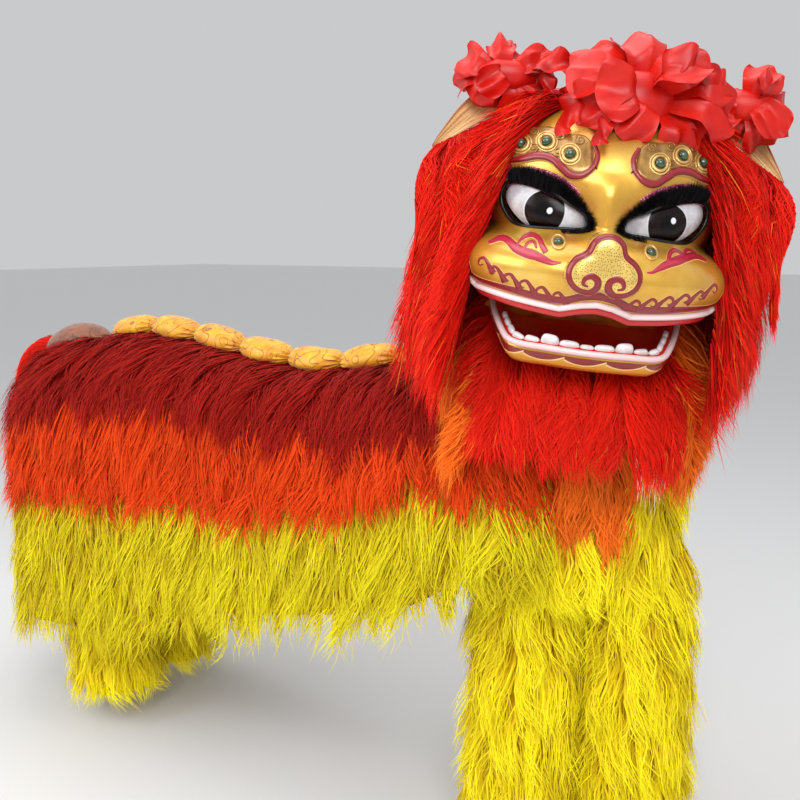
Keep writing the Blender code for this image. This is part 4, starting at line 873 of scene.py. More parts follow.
# The head is a smooth union of ellipsoids: centre and half sizes.
HEAD_CENTRE = np.array([0.0, -0.02, 0.04])
HEAD_BLEND = 22.0
HEAD_MASSES = (
    ((0.0, 0.0, 0.09), (0.222, 0.21, 0.19)),
    ((0.0, -0.075, -0.03), (0.25, 0.212, 0.095)),
    ((0.0, 0.03, -0.05), (0.215, 0.19, 0.16)),
)
# Azimuth from the front in degrees, and the height of the mask's lower edge there.
HEAD_EDGE = np.array((
    (0, -0.068), (6, -0.072), (15, -0.084), (35, -0.078), (57, -0.07), (67, -0.045), (76, -0.012),
    (87, -0.078), (100, -0.095), (115, -0.1), (180, -0.1),
))


def relief(x, z):
    """How far the moulded face stands proud of the smooth head: bridge, brows, cheeks and creases."""
    side = np.abs(x)
    bridge = 0.012 * bell(x, 0.026) * rounded((z - 0.02) / 0.03) * rounded((0.15 - z) / 0.05)
    brow_line = 0.132 + 0.02 * bell(side - 0.12, 0.05)
    brow = 0.007 * bell(z - brow_line, 0.02) * bell(side - 0.11, 0.075)
    corner = -0.01 * bell(side - 0.04, 0.02) * bell(z - 0.062, 0.026)
    crease = -0.007 * bell(z - 0.026 - 0.02 * side, 0.009) * rounded((side - 0.055) / 0.03)
    cheek = 0.008 * bell(side - 0.125, 0.062) * bell(z + 0.018, 0.032)
    rim = 0.004 * bell(z + 0.08, 0.016)
    return bridge + brow + corner + crease + cheek + rim


def mask_radius(direction):
    """Distance from the head's centre to the face: a power mean of the masses' far roots, and the relief."""
    blended = np.zeros(direction.shape[:-1])
    for centre, half in HEAD_MASSES:
        start = (HEAD_CENTRE - np.array(centre)) / np.array(half)
        step = direction / np.array(half)
        a = (step * step).sum(axis=-1)
        b = (step * start).sum(axis=-1)
        c = start @ start - 1.0
        blended += ((-b + np.sqrt(b * b - a * c)) / a) ** HEAD_BLEND
    radius = blended ** (1 / HEAD_BLEND)
    point = HEAD_CENTRE + direction * radius[..., None]
    front = rounded((-point[..., 1] - 0.03) / 0.08)
    return radius + relief(point[..., 0], point[..., 2]) * front


def face_points(x, z, lift=0.0):
    """Points of the face at places seen from the front, by bisection along Y, raised along its normal."""
    x, z = np.broadcast_arrays(np.asarray(x, float), np.asarray(z, float))

    def depth(x, z):
        low, high = np.zeros(x.shape), np.full(x.shape, 0.36)
        for _ in range(32):
            middle = (low + high) / 2
            ray = np.stack([x, -middle, z], axis=-1) - HEAD_CENTRE
            reach = np.linalg.norm(ray, axis=-1)
            inside = reach < mask_radius(ray / reach[..., None])
            low, high = np.where(inside, middle, low), np.where(inside, high, middle)
        return -(low + high) / 2

    step = 0.002
    y = depth(x, z)
    slope_x = (depth(x + step, z) - depth(x - step, z)) / (2 * step)
    slope_z = (depth(x, z + step) - depth(x, z - step)) / (2 * step)
    normal = unit(np.stack([slope_x, -np.ones_like(y), slope_z], axis=-1))
    return np.stack([x, y, z], axis=-1) + normal * np.asarray(lift)[..., None], normal


def edge_polar(azimuth):
    """The angle off +Z of the mask's lower edge at an azimuth, by bisection."""
    height = np.interp(np.degrees(np.abs(azimuth)), HEAD_EDGE[:, 0], HEAD_EDGE[:, 1])
    low, high = np.full(azimuth.shape, 1.0), np.full(azimuth.shape, 2.7)
    for _ in range(40):
        middle = (low + high) / 2
        direction = directions(middle, azimuth)
        above = HEAD_CENTRE[2] + mask_radius(direction) * direction[..., 2] > height
        low, high = np.where(above, middle, low), np.where(above, high, middle)
    return (low + high) / 2


def mask_grid(rows, columns, offset=0.0):
    """The whole head from the crown to its lower edge, closer columns at the front."""
    u = np.linspace(-1, 1, columns, endpoint=False)
    azimuth = math.pi * (0.62 * u + 0.38 * u**3)
    polar = np.linspace(0, 1, rows)[:, None] * edge_polar(azimuth)[None]
    direction = directions(polar, np.broadcast_to(azimuth, polar.shape))
    return HEAD_CENTRE + direction * (mask_radius(direction) + offset)[..., None]


def directions(polar, azimuth):
    """Unit directions from an angle off +Z and an azimuth off the front."""
    level = np.sin(polar)
    return np.stack([level * np.sin(azimuth), -level * np.cos(azimuth), np.cos(polar)], axis=-1)


def spindle(half_length, radius, rows=48, columns=64, angles=(0, 2 * math.pi), ends=(0, math.pi)):
    """An ellipsoid turned about X: radius r sin(a) at place -l cos(a), over a range of turns."""
    along = np.linspace(*ends, rows)[:, None]
    around = np.linspace(*angles, columns, endpoint=angles[1] - angles[0] < 6.28)[None, :]
    x = -half_length * np.cos(along) + 0 * around
    r = radius * np.sin(along)
    return np.stack([x, -r * np.cos(around), r * np.sin(around)], axis=-1)


def inlay(path, width, lift, paint=0, count=60, across=7, closed=False, matrix=HEAD, skin=face_points):
    """A painted band on the face: a strip along a path seen from the front, its back a low arch."""
    line = smooth_path(np.concatenate([path, path[:1]]) if closed else path, count)
    step = np.gradient(line, axis=0)
    if closed:
        step[0] = step[-1] = line[1] - line[-2]
    side = unit(np.stack([-step[:, 1], step[:, 0]], axis=1))
    place = np.linspace(-1, 1, across)
    half = np.interp(np.linspace(0, 1, count), np.linspace(0, 1, len(np.atleast_1d(width))),
        np.atleast_1d(width)) / 2
    spots = line[:, None] + side[:, None] * (half[:, None] * place)[..., None]
    arch = lift * (1 - place**4) - 0.0004 * place**4
    points, _ = skin(spots[..., 0], spots[..., 1], np.broadcast_to(arch, spots.shape[:2]))
    return patch(placed(matrix, points), paint=paint, flip=True)


def gold_paint(name, turns, airbrush_and_shade_spots, speckle=False):
    """Rubbed gold lacquer with airbrushed orange in the hollows, which also serves as painted shade there; its
    spots are listed as (centre, size, stretch).
    """
    paint = Paint(name, roughness=0.3, metallic=0.55, coat_weight=0.5, coat_roughness=0.12)
    place = paint.place(turns)
    broad = paint.noise(place, 9.0, 3.0)
    gold = paint.ramp(broad, (0.25, linear(205, 140, 35)), (0.55, linear(232, 178, 62)),
        (0.8, linear(248, 210, 105)))
    for centre, size, stretch in airbrush_and_shade_spots:
        # Each spot mixes in dark airbrushed orange, partly the lacquer's own airbrush and partly painted shade
        # in a hollow.
        soft = paint.spot(place, centre, size, stretch)
        gold = paint.mix(soft * 0.9, gold, linear(182, 76, 10))
    flake = paint.noise(place, 900.0, 1.0)
    gold = paint.mix(paint.step(flake, 0.56, 0.72) * 0.35, gold, linear(255, 232, 150))
    rough = paint.noise(place, 60.0, 3.0)
    if speckle:
        gold = paint.mix(0.55, gold, linear(250, 226, 130))
        flat = paint.node("ShaderNodeCombineXYZ", {},
            {0: paint.axis(place, "X") * 260.0, 1: paint.axis(place, "Z") * 190.0})
        cell = paint.node("ShaderNodeTexVoronoi", {"voronoi_dimensions": "2D"},
            {"Vector": flat, "Scale": 1.0, "Randomness": 0.7}, "Distance")
        gold = paint.mix((1 - paint.step(cell, 0.14, 0.24)) * 0.9, gold, linear(120, 66, 20))
    ripple = paint.bump(rough, 0.12, 0.002)
    return paint.feed(base_color=gold, roughness=rough * 0.18 + 0.22, normal=ripple)


def lacquer(name, dark, bright, turns=HEAD_TURNS, **constants):
    """A glossy brushed paint between a dark and a bright tone."""
    settings = {"roughness": 0.32, "coat_weight": 0.4, "coat_roughness": 0.1, **constants}
    paint = Paint(name, **settings)
    place = paint.place(turns)
    brush = paint.noise(paint.scaled(place, (60.0, 60.0, 14.0)), 1.0, 4.0)
    colour = paint.ramp(brush, (0.25, linear(*dark)), (0.75, linear(*bright)))
    return paint.feed(base_color=colour, normal=paint.bump(brush, 0.1, 0.001))


def banded(name, edges, turns=HEAD_TURNS, **constants):
    """Paint whose colour changes over the map's u: a list of (place, colour)."""
    paint = Paint(name, **{"roughness": 0.34, "coat_weight": 0.4, **constants})
    u = paint.axis(paint.weave(), "X")
    grain = paint.noise(paint.place(turns), 240.0, 3.0)
    colour = paint.ramp(u + (grain - 0.5) * 0.05, *edges)
    return paint.feed(base_color=colour, normal=paint.bump(grain, 0.08, 0.001))


def outlined(name, body_dark, body_bright):
    """A maroon band with a thin gold line along each edge."""
    gold = linear(236, 178, 96)
    return banded(name, (
        (0.0, gold), (0.1, gold), (0.13, body_dark), (0.5, body_bright),
        (0.87, body_dark), (0.9, gold), (1.0, gold),
    ))


# A breaking wave seen from the front: steps outward and up from its crest, from its foot to its rolled tip.
BREAKER = np.array((
    (-0.021, -0.023), (-0.014, -0.013), (-0.007, -0.004), (0.0, 0.002),
    (0.0075, -0.001), (0.01, -0.008), (0.0062, -0.013), (0.0012, -0.0105),
))


def breaker(top, outward, size=1.0):
    """The path of a breaking wave whose crest lies at a place on the face."""
    return np.array(top) + BREAKER * size * np.array([outward, 1.0])


EYE_HALF_LENGTH, EYE_RADIUS, SOCKET_GAP = 0.09, 0.05, 0.007
LID_CLEARANCE, LID_WALL = 0.0008, 0.003


def shell_patches(outer, inner, wrap=False, ends=(0, -1), paint=0):
    """A closed wall: two faces of the same grid and the edges between them."""
    patches = [patch(outer, wrap, paint=paint), patch(inner, wrap, paint=paint, flip=True)]
    for row in ends:
        patches.append(patch(np.stack([outer[row], inner[row]]), wrap, paint=paint))
    if not wrap:
        for column in (0, -1):
            patches.append(patch(np.stack([outer[:, column], inner[:, column]]), paint=paint))
    return patches


def cut_out(piece, tools):
    """Cut closed tools out of a piece, and keep only the finished mesh."""
    for tool in tools:
        cut = piece.modifiers.new("cut", "BOOLEAN")
        cut.operation, cut.object, cut.solver = "DIFFERENCE", tool, "EXACT"
    bpy.context.view_layer.update()
    graph = bpy.context.evaluated_depsgraph_get()
    finished = bpy.data.meshes.new_from_object(piece.evaluated_get(graph))
    piece.modifiers.clear()
    piece.data = finished
    for tool in tools:
        bpy.data.objects.remove(tool, do_unlink=True)


def eye_opening(sign, level, count=90):
    """The edge of an eye's opening on the face, seen from the front.

    Along each direction from the eye's middle, bisection finds where the face leaves the
    socket's ellipsoid, or a slightly larger one.
    """
    angle = np.linspace(0, 2 * math.pi, count, endpoint=False)
    x0, z0 = sign * 0.106, 0.078
    back = np.linalg.inv(np.linalg.inv(HEAD) @ eye_frame(sign))
    low, high = np.zeros(count), np.full(count, 0.13)
    for _ in range(26):
        middle = (low + high) / 2
        points, _ = face_points(x0 + middle * np.cos(angle), z0 + middle * np.sin(angle))
        eye = placed(back, points)
        value = (eye[:, 0] / (EYE_HALF_LENGTH + SOCKET_GAP)) ** 2
        value = value + (eye[:, 1] ** 2 + eye[:, 2] ** 2) / (EYE_RADIUS + SOCKET_GAP) ** 2
        low, high = np.where(value < level, middle, low), np.where(value < level, high, middle)
    return x0 + low * np.cos(angle), z0 + low * np.sin(angle)


class COSTUME_OT_face(bpy.types.Operator):
    """Mould the gold mask, with its eye openings, and line the openings in black"""

    bl_idname = "costume.face"
    bl_label = "Mask"

    def execute(self, context):
        # Spots of dark airbrushed orange that also paint shade: the forehead, between the eyes, by the eyes'
        # inner corners, the temples, the cheeks' sides and under the eyes.
        airbrush_and_shade_spots = [((0.0, -0.19, 0.225), 0.085, (1.9, 1.2, 0.75)), ((0.0, -0.29, 0.045), 0.05, (1.1, 1, 0.6))]
        for x, y, z, size, stretch in (
            (0.045, -0.2, 0.07, 0.045, (0.8, 1, 1.2)), (0.195, -0.1, 0.06, 0.085, (0.8, 1.2, 1.2)),
            (0.215, -0.09, -0.01, 0.06, (0.7, 1.2, 1.0)), (0.095, -0.24, 0.031, 0.04, (2.2, 1, 0.35)),
        ):
            airbrush_and_shade_spots += [((sign * x, y, z), size, stretch) for sign in (1, -1)]
        gold = gold_paint("gold_lacquer", HEAD_TURNS, airbrush_and_shade_spots)
        outer, inner = placed(HEAD, mask_grid(104, 256)), placed(HEAD, mask_grid(104, 256, -0.004))
        shell = make_piece("mask_shell", shell_patches(outer, inner, True, (-1,)), gold, "costume",
            ["head_shell"])
        tools = []
        for sign in SIDES.values():
            grid = placed(eye_frame(sign),
                spindle(EYE_HALF_LENGTH + SOCKET_GAP, EYE_RADIUS + SOCKET_GAP, 60, 72))
            mesh = make_mesh("socket", [patch(grid, True)], [])
            close_mesh(mesh)
            tool = bpy.data.objects.new("socket", mesh)
            context.scene.collection.objects.link(tool)
            tools.append(tool)
        cut_out(shell, tools)
        shell.data.shade_smooth()
        shell.data.set_sharp_from_angle(angle=math.radians(45))
        black = Paint("black_liner", base_color=(0.006, 0.006, 0.008, 1), roughness=0.35)
        liner = []
        for sign in SIDES.values():
            x, z = eye_opening(sign, 1.03)
            loop, _ = face_points(np.append(x, x[:2]), np.append(z, z[:2]), 0.0004)
            rings = tube(placed(HEAD, loop), 0.0032, 10, False, 1.0,
                placed(HEAD, np.array([0, -1.0, 0])) - HEAD[:3, 3])
            liner.append(patch(rings, True))
        make_piece("eye_liner", liner, black.material, "costume", outward=False)
        return {"FINISHED"}


def eye_paint(side, sign):
    """The painted eye: a grey white that greys towards both ends as painted shade, a black iris in a pale ring
    with a painted catchlight, and a dark lower edge.
    """
    paint = Paint("eye_" + side, roughness=0.22, specular_ior_level=0.25)
    place = paint.place((*HEAD_TURNS, ((sign * EYE_PLACE[0], *EYE_PLACE[1:]),
        (0, -sign * EYE_SLANT, sign * EYE_SPLAY))))
    x, z = paint.axis(place, "X"), paint.axis(place, "Z")
    off_x, off_z = x + sign * 0.006, z + 0.002
    distance = (off_x * off_x + off_z * off_z) ** 0.5
    cloud = paint.noise(place, 50.0, 3.0)
    white = paint.ramp(cloud, (0.3, linear(176, 174, 180)), (0.7, linear(228, 226, 228)))
    # The white greys towards both ends of the eye: painted shade where the ball turns into its socket.
    painted_corner_shade = paint.step(abs(x), 0.05, 0.085)
    white = paint.mix(painted_corner_shade * 0.6, white, linear(150, 140, 142))
    ring = paint.mix(1 - paint.step(distance, 0.0392, 0.04), white, linear(215, 215, 220))
    turned = paint.node("ShaderNodeMath", {"operation": "ARCTAN2"}, {0: off_z, 1: off_x})
    spoke = paint.noise(paint.node("ShaderNodeCombineXYZ", {}, {0: turned * 9.0, 1: distance * 40.0}), 1.0, 2.0)
    brown = paint.ramp(spoke, (0.42, linear(9, 5, 4)), (0.66, linear(34, 17, 12)))
    brown = paint.mix(1 - paint.step(distance, 0.015, 0.018), brown, linear(3, 2, 2))
    iris = paint.mix(1 - paint.step(distance, 0.0365, 0.0374), ring, brown)
    # A painted catchlight: a small pale spot on the iris standing for the reflection of a lamp.
    catchlight_x, catchlight_z = x - 0.01 + sign * 0.006, z - 0.004
    painted_catchlight_distance = (catchlight_x * catchlight_x + catchlight_z * catchlight_z * 0.8) ** 0.5
    iris = paint.mix(1 - paint.step(painted_catchlight_distance, 0.004, 0.0058), iris, linear(235, 240, 245))
    edge = z + x * x * -4.2 + 0.0405
    lined = paint.mix(1 - paint.step(edge, 0.0, 0.0012), iris, linear(6, 6, 8))
    return paint.feed(base_color=lined)


def lid_glitter():
    """Magenta paint with loose glitter: every cell of a fine Voronoi takes a tone of its own."""
    paint = Paint("lid_glitter", roughness=0.35, metallic=0.25)
    cell = paint.node("ShaderNodeTexVoronoi", {}, {"Vector": paint.place(HEAD_TURNS), "Scale": 700.0}, "Color")
    sparkle = paint.axis(cell, "X")
    colour = paint.ramp(
        sparkle, (0.0, linear(120, 16, 56)), (0.5, linear(200, 50, 104)),
        (0.85, linear(232, 110, 146)), (1.0, linear(250, 220, 225)),
    )
    return paint.feed(base_color=colour, normal=paint.bump(sparkle, 0.5, 0.001))


def hair_spray(roots, directions_out, lengths, width, rng, bend, kinks=4):
    """Short tapered hairs from roots along directions, each bending towards a common direction."""
    count = len(roots)
    t = np.linspace(0, 1, kinks + 1)[None, :, None]
    path = roots[:, None] + directions_out[:, None] * lengths[:, None, None] * t
    path = path + np.asarray(bend) * (lengths[:, None, None] * t**2)
    side = unit(np.cross(directions_out, rng.normal(0, 1, (count, 3))))[:, None]
    half = width / 2 * (1.02 - t**2)
    u = np.tile([0.0, 1.0, 1.0, 0.0], (count, kinks, 1))
    return ribbons(path - side * half, path + side * half, u)


class COSTUME_OT_eyes(bpy.types.Operator):
    """Set the eyeballs, the glittered lids and the thick black lashes"""

    bl_idname = "costume.eyes"
    bl_label = "Eyes"

    def execute(self, context):
        glitter = lid_glitter()
        black = Paint("lash_black", base_color=(0.004, 0.004, 0.006, 1), roughness=0.6,
            specular_ior_level=0.2).material
        for side, sign in SIDES.items():
            matrix = eye_frame(sign)
            ball = placed(matrix, spindle(EYE_HALF_LENGTH, EYE_RADIUS, 64, 72))
            make_piece("eye_" + side, [patch(ball, True)], eye_paint(side, sign), "costume",
                ["eyeball_" + side])
            clear = LID_CLEARANCE
            angles, ends = (math.radians(33), math.radians(108)), (0.1, math.pi - 0.1)
            inner = spindle(EYE_HALF_LENGTH + clear, EYE_RADIUS + clear, 40, 24, angles, ends)
            thick = clear + LID_WALL
            outer = spindle(EYE_HALF_LENGTH + thick, EYE_RADIUS + thick, 40, 24, angles, ends)
            body = "lid_" + side
            lid = shell_patches(placed(matrix, outer), placed(matrix, inner))
            make_piece("upper_lid_" + side, lid, glitter, body, ["eyelid_" + side])
            rng = np.random.default_rng(91 + sign)
            count = 5000
            along = rng.uniform(-0.074, 0.084, count) * sign
            angle = np.radians(rng.uniform(31.5, 37, count))
            swell = np.clip(1 - (along / (EYE_HALF_LENGTH + thick)) ** 2, 0.05, 1)
            radius = (EYE_RADIUS + thick) * np.sqrt(swell)
            roots = np.stack([along, -radius * np.cos(angle), radius * np.sin(angle)], axis=1)
            out = np.stack([np.zeros(count), -np.cos(angle), np.sin(angle)], axis=1)
            rise = np.stack([np.zeros(count), np.sin(angle), np.cos(angle)], axis=1)
            fan = np.stack([along * 6.0, np.zeros(count), np.zeros(count)], axis=1)
            lean = rng.uniform(0.25, 1.15, (count, 1))
            aim = unit(out + rise * lean + fan + rng.normal(0, 0.12, (count, 3)))
            share = np.interp(along * sign, (-0.074, -0.05, -0.02, 0.05, 0.084), (0.5, 0.78, 1.0, 1.05, 0.9))
            length = 0.029 * share * rng.uniform(0.65, 1.05, count)
            verts, quads, places, paint = hair_spray(roots, aim, length, 0.0011, rng, (0, 0, 0.2))
            hairs = (placed(matrix, verts), quads, places, paint)
            base_angles = (math.radians(32), math.radians(44))
            band = [
                placed(matrix, spindle(EYE_HALF_LENGTH + thick + rise, EYE_RADIUS + thick + rise, 30, 8,
                    base_angles, (0.5, math.pi - 0.4)))
                for rise in (0.0016, 0.0004)
            ]
            make_piece("lashes_" + side, [*shell_patches(*band), hairs], black, body,
                ["lash_" + side], close=False)
            make_piece("corner_lashes_" + side, [self.corner(sign, rng)], black, "costume",
                close=False)
        return {"FINISHED"}

    @staticmethod
    def corner(sign, rng):
        """Short lashes on the mask, from over an eye's middle round its inner corner to below it."""
        count = 2400
        edge = np.stack(eye_opening(sign, 1.0), axis=1)
        edge = np.concatenate([edge, edge[:1]])
        turned = rng.uniform(100, 232, count)
        place = np.mod(turned if sign > 0 else 180 - turned, 360) / 4
        root = np.stack([np.interp(place, np.arange(91), edge[:, k]) for k in (0, 1)], axis=1)
        outward = unit(root - np.array([sign * 0.106, 0.078]))
        root = root + outward * rng.uniform(0.002, 0.01, (count, 1))
        points, normal = face_points(root[:, 0], root[:, 1], -0.0005)
        flat = np.stack([outward[:, 0], np.zeros(count), outward[:, 1]], axis=1)
        aim = normal * rng.uniform(0.5, 1.1, (count, 1)) + flat * rng.uniform(0.4, 1.1, (count, 1))
        aim = unit(aim + rng.normal(0, 0.12, (count, 3)))
        length = np.interp(turned, (100, 125, 165, 190, 215, 232),
            (0.01, 0.02, 0.021, 0.018, 0.01, 0.004)) * rng.uniform(0.6, 1.05, count)
        verts, quads, places, paint = hair_spray(points, aim, length, 0.0011, rng, (0, 0, 0.1))
        return placed(HEAD, verts), quads, places, paint


NOSE_LOBES = ((90.0, 0.052), (219.6, 0.066), (320.4, 0.066))


def nose_reach(angle):
    """Distance of the nose's outline from its middle: the largest of a base circle and three bells."""
    reach = np.full(angle.shape, 0.036)
    for middle, size in NOSE_LOBES:
        away = np.angle(np.exp(1j * (angle - math.radians(middle))))
        reach = np.maximum(reach, size * np.exp(-((away / 1.05) ** 2) * 0.55))
    for turn_by in (-0.06, 0.06, -0.12, 0.12):
        other = np.full(angle.shape, 0.036)
        for middle, size in NOSE_LOBES:
            away = np.angle(np.exp(1j * (angle + turn_by - math.radians(middle))))
            other = np.maximum(other, size * np.exp(-((away / 1.05) ** 2) * 0.55))
        reach = reach + other
    return reach / 5


def nose_points(x, z, lift=0.0):
    """Points on the nose's crowned front: depth falls as the square root of 1 - rho^4 towards its outline."""
    def depth(x, z):
        px, pz = x / 1.12, z + 0.004
        rho = np.hypot(px, pz) / nose_reach(np.arctan2(pz, px))
        lobes = sum(0.004 * bell(x - s * 0.045, 0.022) * bell(z + 0.034, 0.02) for s in (-1, 1))
        groove = 0.003 * bell(x, 0.01) * bell(z + 0.05, 0.02)
        return -0.286 - 0.02 * np.sqrt(np.clip(1 - rho**4, 0, 1)) - lobes * (rho < 1) + groove

    step = 0.001
    slope_x = (depth(x + step, z) - depth(x - step, z)) / (2 * step)
    slope_z = (depth(x, z + step) - depth(x, z - step)) / (2 * step)
    normal = unit(np.stack([slope_x, -np.ones_like(x), slope_z], axis=-1))
    return np.stack([x, depth(x, z), z], axis=-1) + normal * np.asarray(lift)[..., None], normal


class COSTUME_OT_ornaments(bpy.types.Operator):
    """Lay the nose, the crests, the studs and the painted bands on the mask"""

    bl_idname = "costume.ornaments"
    bl_label = "Nose, Crests and Painted Bands"

    def execute(self, context):
        self.nose()
        self.bands()
        self.crests()
        return {"FINISHED"}

    @staticmethod
    def nose():
        around = np.linspace(0, 2 * math.pi, 120, endpoint=False)
        reach = nose_reach(around)
        rho = np.sin(np.linspace(0, math.pi / 2, 34))[:, None]
        x, z = rho * reach * np.cos(around) * 1.12, rho * reach * np.sin(around) - 0.004
        front, _ = nose_points(x, z)
        edge = front[-1:]
        side = np.concatenate([edge + np.array([0, 1.0, 0]) * step for step in (0.004, 0.02, 0.06)])
        back = side[-1:].mean(axis=1, keepdims=True).repeat(120, axis=1)
        grid = placed(HEAD, np.concatenate([front, side, back]))
        # Dark airbrushed orange low on the nose's front, partly painted shade under its crown.
        airbrush_and_shade_spots = (((0.0, -0.3, -0.06), 0.03, (1.4, 1, 0.8)),)
        paint = gold_paint("nose_gold", HEAD_TURNS, airbrush_and_shade_spots, speckle=True)
        make_piece("nose_trefoil", [patch(grid, True)], paint, "costume", ["nose"])
        maroon = outlined("maroon_band", linear(116, 14, 26), linear(150, 22, 34))
        sweep = np.radians(np.linspace(250, -70, 40))
        size = nose_reach(sweep) * 0.885
        ring = np.stack([size * np.cos(sweep) * 1.12, size * np.sin(sweep) - 0.004], axis=1)
        nostril = np.array(((-0.024, -0.042), (-0.033, -0.038), (-0.03, -0.028), (-0.02, -0.024),
            (-0.01, -0.031), (-0.01, -0.043)))
        line = np.concatenate([nostril, ring, nostril[::-1] * np.array([-1, 1])])
        widths = (0.004, 0.014, 0.016, *[0.012] * 10, 0.016, 0.014, 0.004)
        bands = [inlay(line, widths, 0.0014, count=260, skin=nose_points)]
        make_piece("nose_bands", bands, maroon, "costume", close=False)

    @staticmethod
    def bands():
        maroon = outlined("maroon_wave", linear(118, 12, 24), linear(158, 24, 38))
        flame = outlined("flame_red", linear(150, 16, 36), linear(196, 40, 72))
        flames = [
            inlay([(-0.196, 0.004), (-0.175, 0.015), (-0.161, 0.012), (-0.148, 0.003), (-0.133, -0.002),
                (-0.117, -0.004), (-0.102, -0.008), (-0.086, -0.012), (-0.071, -0.01)],
                (0.007, 0.014, 0.02, 0.022, 0.016, 0.003), 0.0012),
            inlay([(-0.149, 0.005), (-0.137, 0.021), (-0.123, 0.027), (-0.111, 0.023), (-0.105, 0.013),
                (-0.098, 0.003)], (0.004, 0.011, 0.013), 0.0012, count=40),
            inlay([(-0.137, 0.001), (-0.128, 0.014), (-0.119, 0.016), (-0.114, 0.008)], (0.005, 0.007, 0.005),
                0.0012, count=30),
            inlay([(0.071, -0.01), (0.08, -0.009), (0.089, -0.003), (0.106, 0.006), (0.125, 0.013),
                (0.144, 0.019), (0.163, 0.022), (0.184, 0.016)], (0.003, 0.015, 0.019, 0.014, 0.007), 0.0012),
            inlay([(0.106, 0.005), (0.112, 0.022), (0.124, 0.028), (0.136, 0.022), (0.132, 0.012)],
                (0.01, 0.009, 0.006), 0.0012, count=40),
            inlay([(0.134, 0.016), (0.146, 0.029), (0.16, 0.029), (0.17, 0.021)], (0.009, 0.007, 0.005),
                0.0012, count=30),
        ]
        make_piece("cheek_flames", flames, flame, "costume", close=False)
        shadow = [
            inlay([(sign * x, z) for x, z in ((0.052, 0.104), (0.072, 0.117), (0.096, 0.126), (0.122, 0.132),
                (0.152, 0.132), (0.182, 0.122))], (0.006, 0.016, 0.02, 0.02, 0.01), 0.0008)
            for sign in SIDES.values()
        ]
        make_piece("eye_shadow", shadow, lid_glitter(), "costume", close=False)
        azimuth = HEAD_EDGE[:, 0]
        angle = np.radians(np.concatenate([-azimuth[5:0:-1], azimuth[:6]]))
        height = np.concatenate([HEAD_EDGE[5:0:-1, 1], HEAD_EDGE[:6, 1]])
        radius = np.interp(np.abs(np.degrees(angle)), (0, 35, 57, 67), (0.262, 0.262, 0.255, 0.25))
        x = radius * np.sin(angle)
        line = np.stack([x, height + 0.0095], axis=1)
        waves = [inlay(line, (0.008, 0.018, 0.018, 0.018, 0.008), 0.0011, count=150)]
        for x, z, size in (
            (-0.2, -0.024, 0.9), (-0.178, -0.035, 0.95), (-0.152, -0.043, 1.0),
            (-0.124, -0.05, 1.0), (-0.095, -0.057, 0.95), (-0.067, -0.062, 0.8),
            (0.062, -0.06, 0.8), (0.088, -0.055, 0.95), (0.116, -0.049, 1.0),
            (0.144, -0.043, 1.0), (0.171, -0.036, 0.95), (0.197, -0.024, 0.9),
        ):
            path = breaker((x, z), math.copysign(1, x), size)
            waves.append(inlay(path, (0.017, 0.013, 0.009, 0.0075, 0.0065, 0.0045, 0.0025), 0.0013, count=48,
                across=7))
        make_piece("lip_waves", waves, maroon, "costume", close=False)

    @staticmethod
    def crests():
        maroon = outlined("crest_maroon", linear(120, 10, 24), linear(156, 22, 36))
        dark = lacquer("crest_gold", (120, 70, 22), (206, 160, 84), metallic=0.5)
        cup = lacquer("cup_gold", (214, 160, 70), (250, 222, 150), metallic=0.5)
        glass = Paint("green_glass", roughness=0.04, coat_weight=1.0, ior=1.5)
        place = glass.place(HEAD_TURNS)
        shade = glass.ramp(glass.noise(place, 90.0, 2.0), (0.35, linear(8, 40, 22)), (0.65, linear(60, 96, 62)))
        glass = glass.feed(base_color=shade)
        lower = ((0.034, 0.15), (0.05, 0.136), (0.07, 0.134), (0.088, 0.146), (0.106, 0.158),
            (0.13, 0.16), (0.158, 0.152), (0.186, 0.146))
        upper = ((0.038, 0.19), (0.056, 0.205), (0.078, 0.206), (0.1, 0.213), (0.122, 0.216),
            (0.142, 0.21), (0.162, 0.205), (0.186, 0.19))
        studs = ((0.075, 0.166), (0.115, 0.184), (0.157, 0.178))
        for side, sign in SIDES.items():
            mirror = np.array([sign, 1])
            low, high = smooth_path(lower, 60) * mirror, smooth_path(upper, 60) * mirror
            share = np.linspace(0, 1, 18)[:, None, None]
            spots = low[None] + (high - low)[None] * share
            edge = np.minimum(np.minimum(share[..., 0], 1 - share[..., 0]) * 9, 1)
            edge = edge * np.minimum(np.minimum(np.arange(60), np.arange(60)[::-1]) / 4, 1)
            lift = -0.0008 + 0.0068 * np.sqrt(np.clip(1 - (1 - edge) ** 2, 0, 1))
            points, _ = face_points(spots[..., 0], spots[..., 1], lift)
            plate = [patch(placed(HEAD, points), paint=0, flip=sign > 0)]
            for x, z in ((0.06, 0.192), (0.093, 0.198), (0.138, 0.2), (0.096, 0.168), (0.136, 0.172),
                (0.172, 0.168)):
                t = np.linspace(0, 1, 40)
                radius, angle = 0.0085 * (1 - 0.75 * t), 8.5 * t + x * 40
                ring = np.stack([sign * x + radius * np.cos(angle), z + radius * np.sin(angle)], axis=1)
                spiral, _ = face_points(ring[:, 0], ring[:, 1], 0.0068)
                plate.append(patch(tube(placed(HEAD, spiral), 0.0016 * (1.1 - 0.5 * t), 6,
                    reference=HEAD[:3, 1]), True, paint=0))
            for x, z in studs:
                plate.append(cup_ring(sign * x, z, 0.0128, 0.0026, 0.0072, 1))
                plate.append(cup_ring(sign * x, z, 0.0175, 0.0016, 0.0066, 1))
            make_piece("crest_" + side, plate, [dark, cup], "costume", ["brow_crest_" + side])
            band = [inlay(low[::4], (0.01, 0.016, 0.016, 0.016, 0.01), 0.0074, count=90)]
            band.append(inlay(np.stack([[sign * 0.034, 0.15], [sign * 0.03, 0.17], [sign * 0.038, 0.188]]),
                (0.013, 0.01), 0.007, count=24))
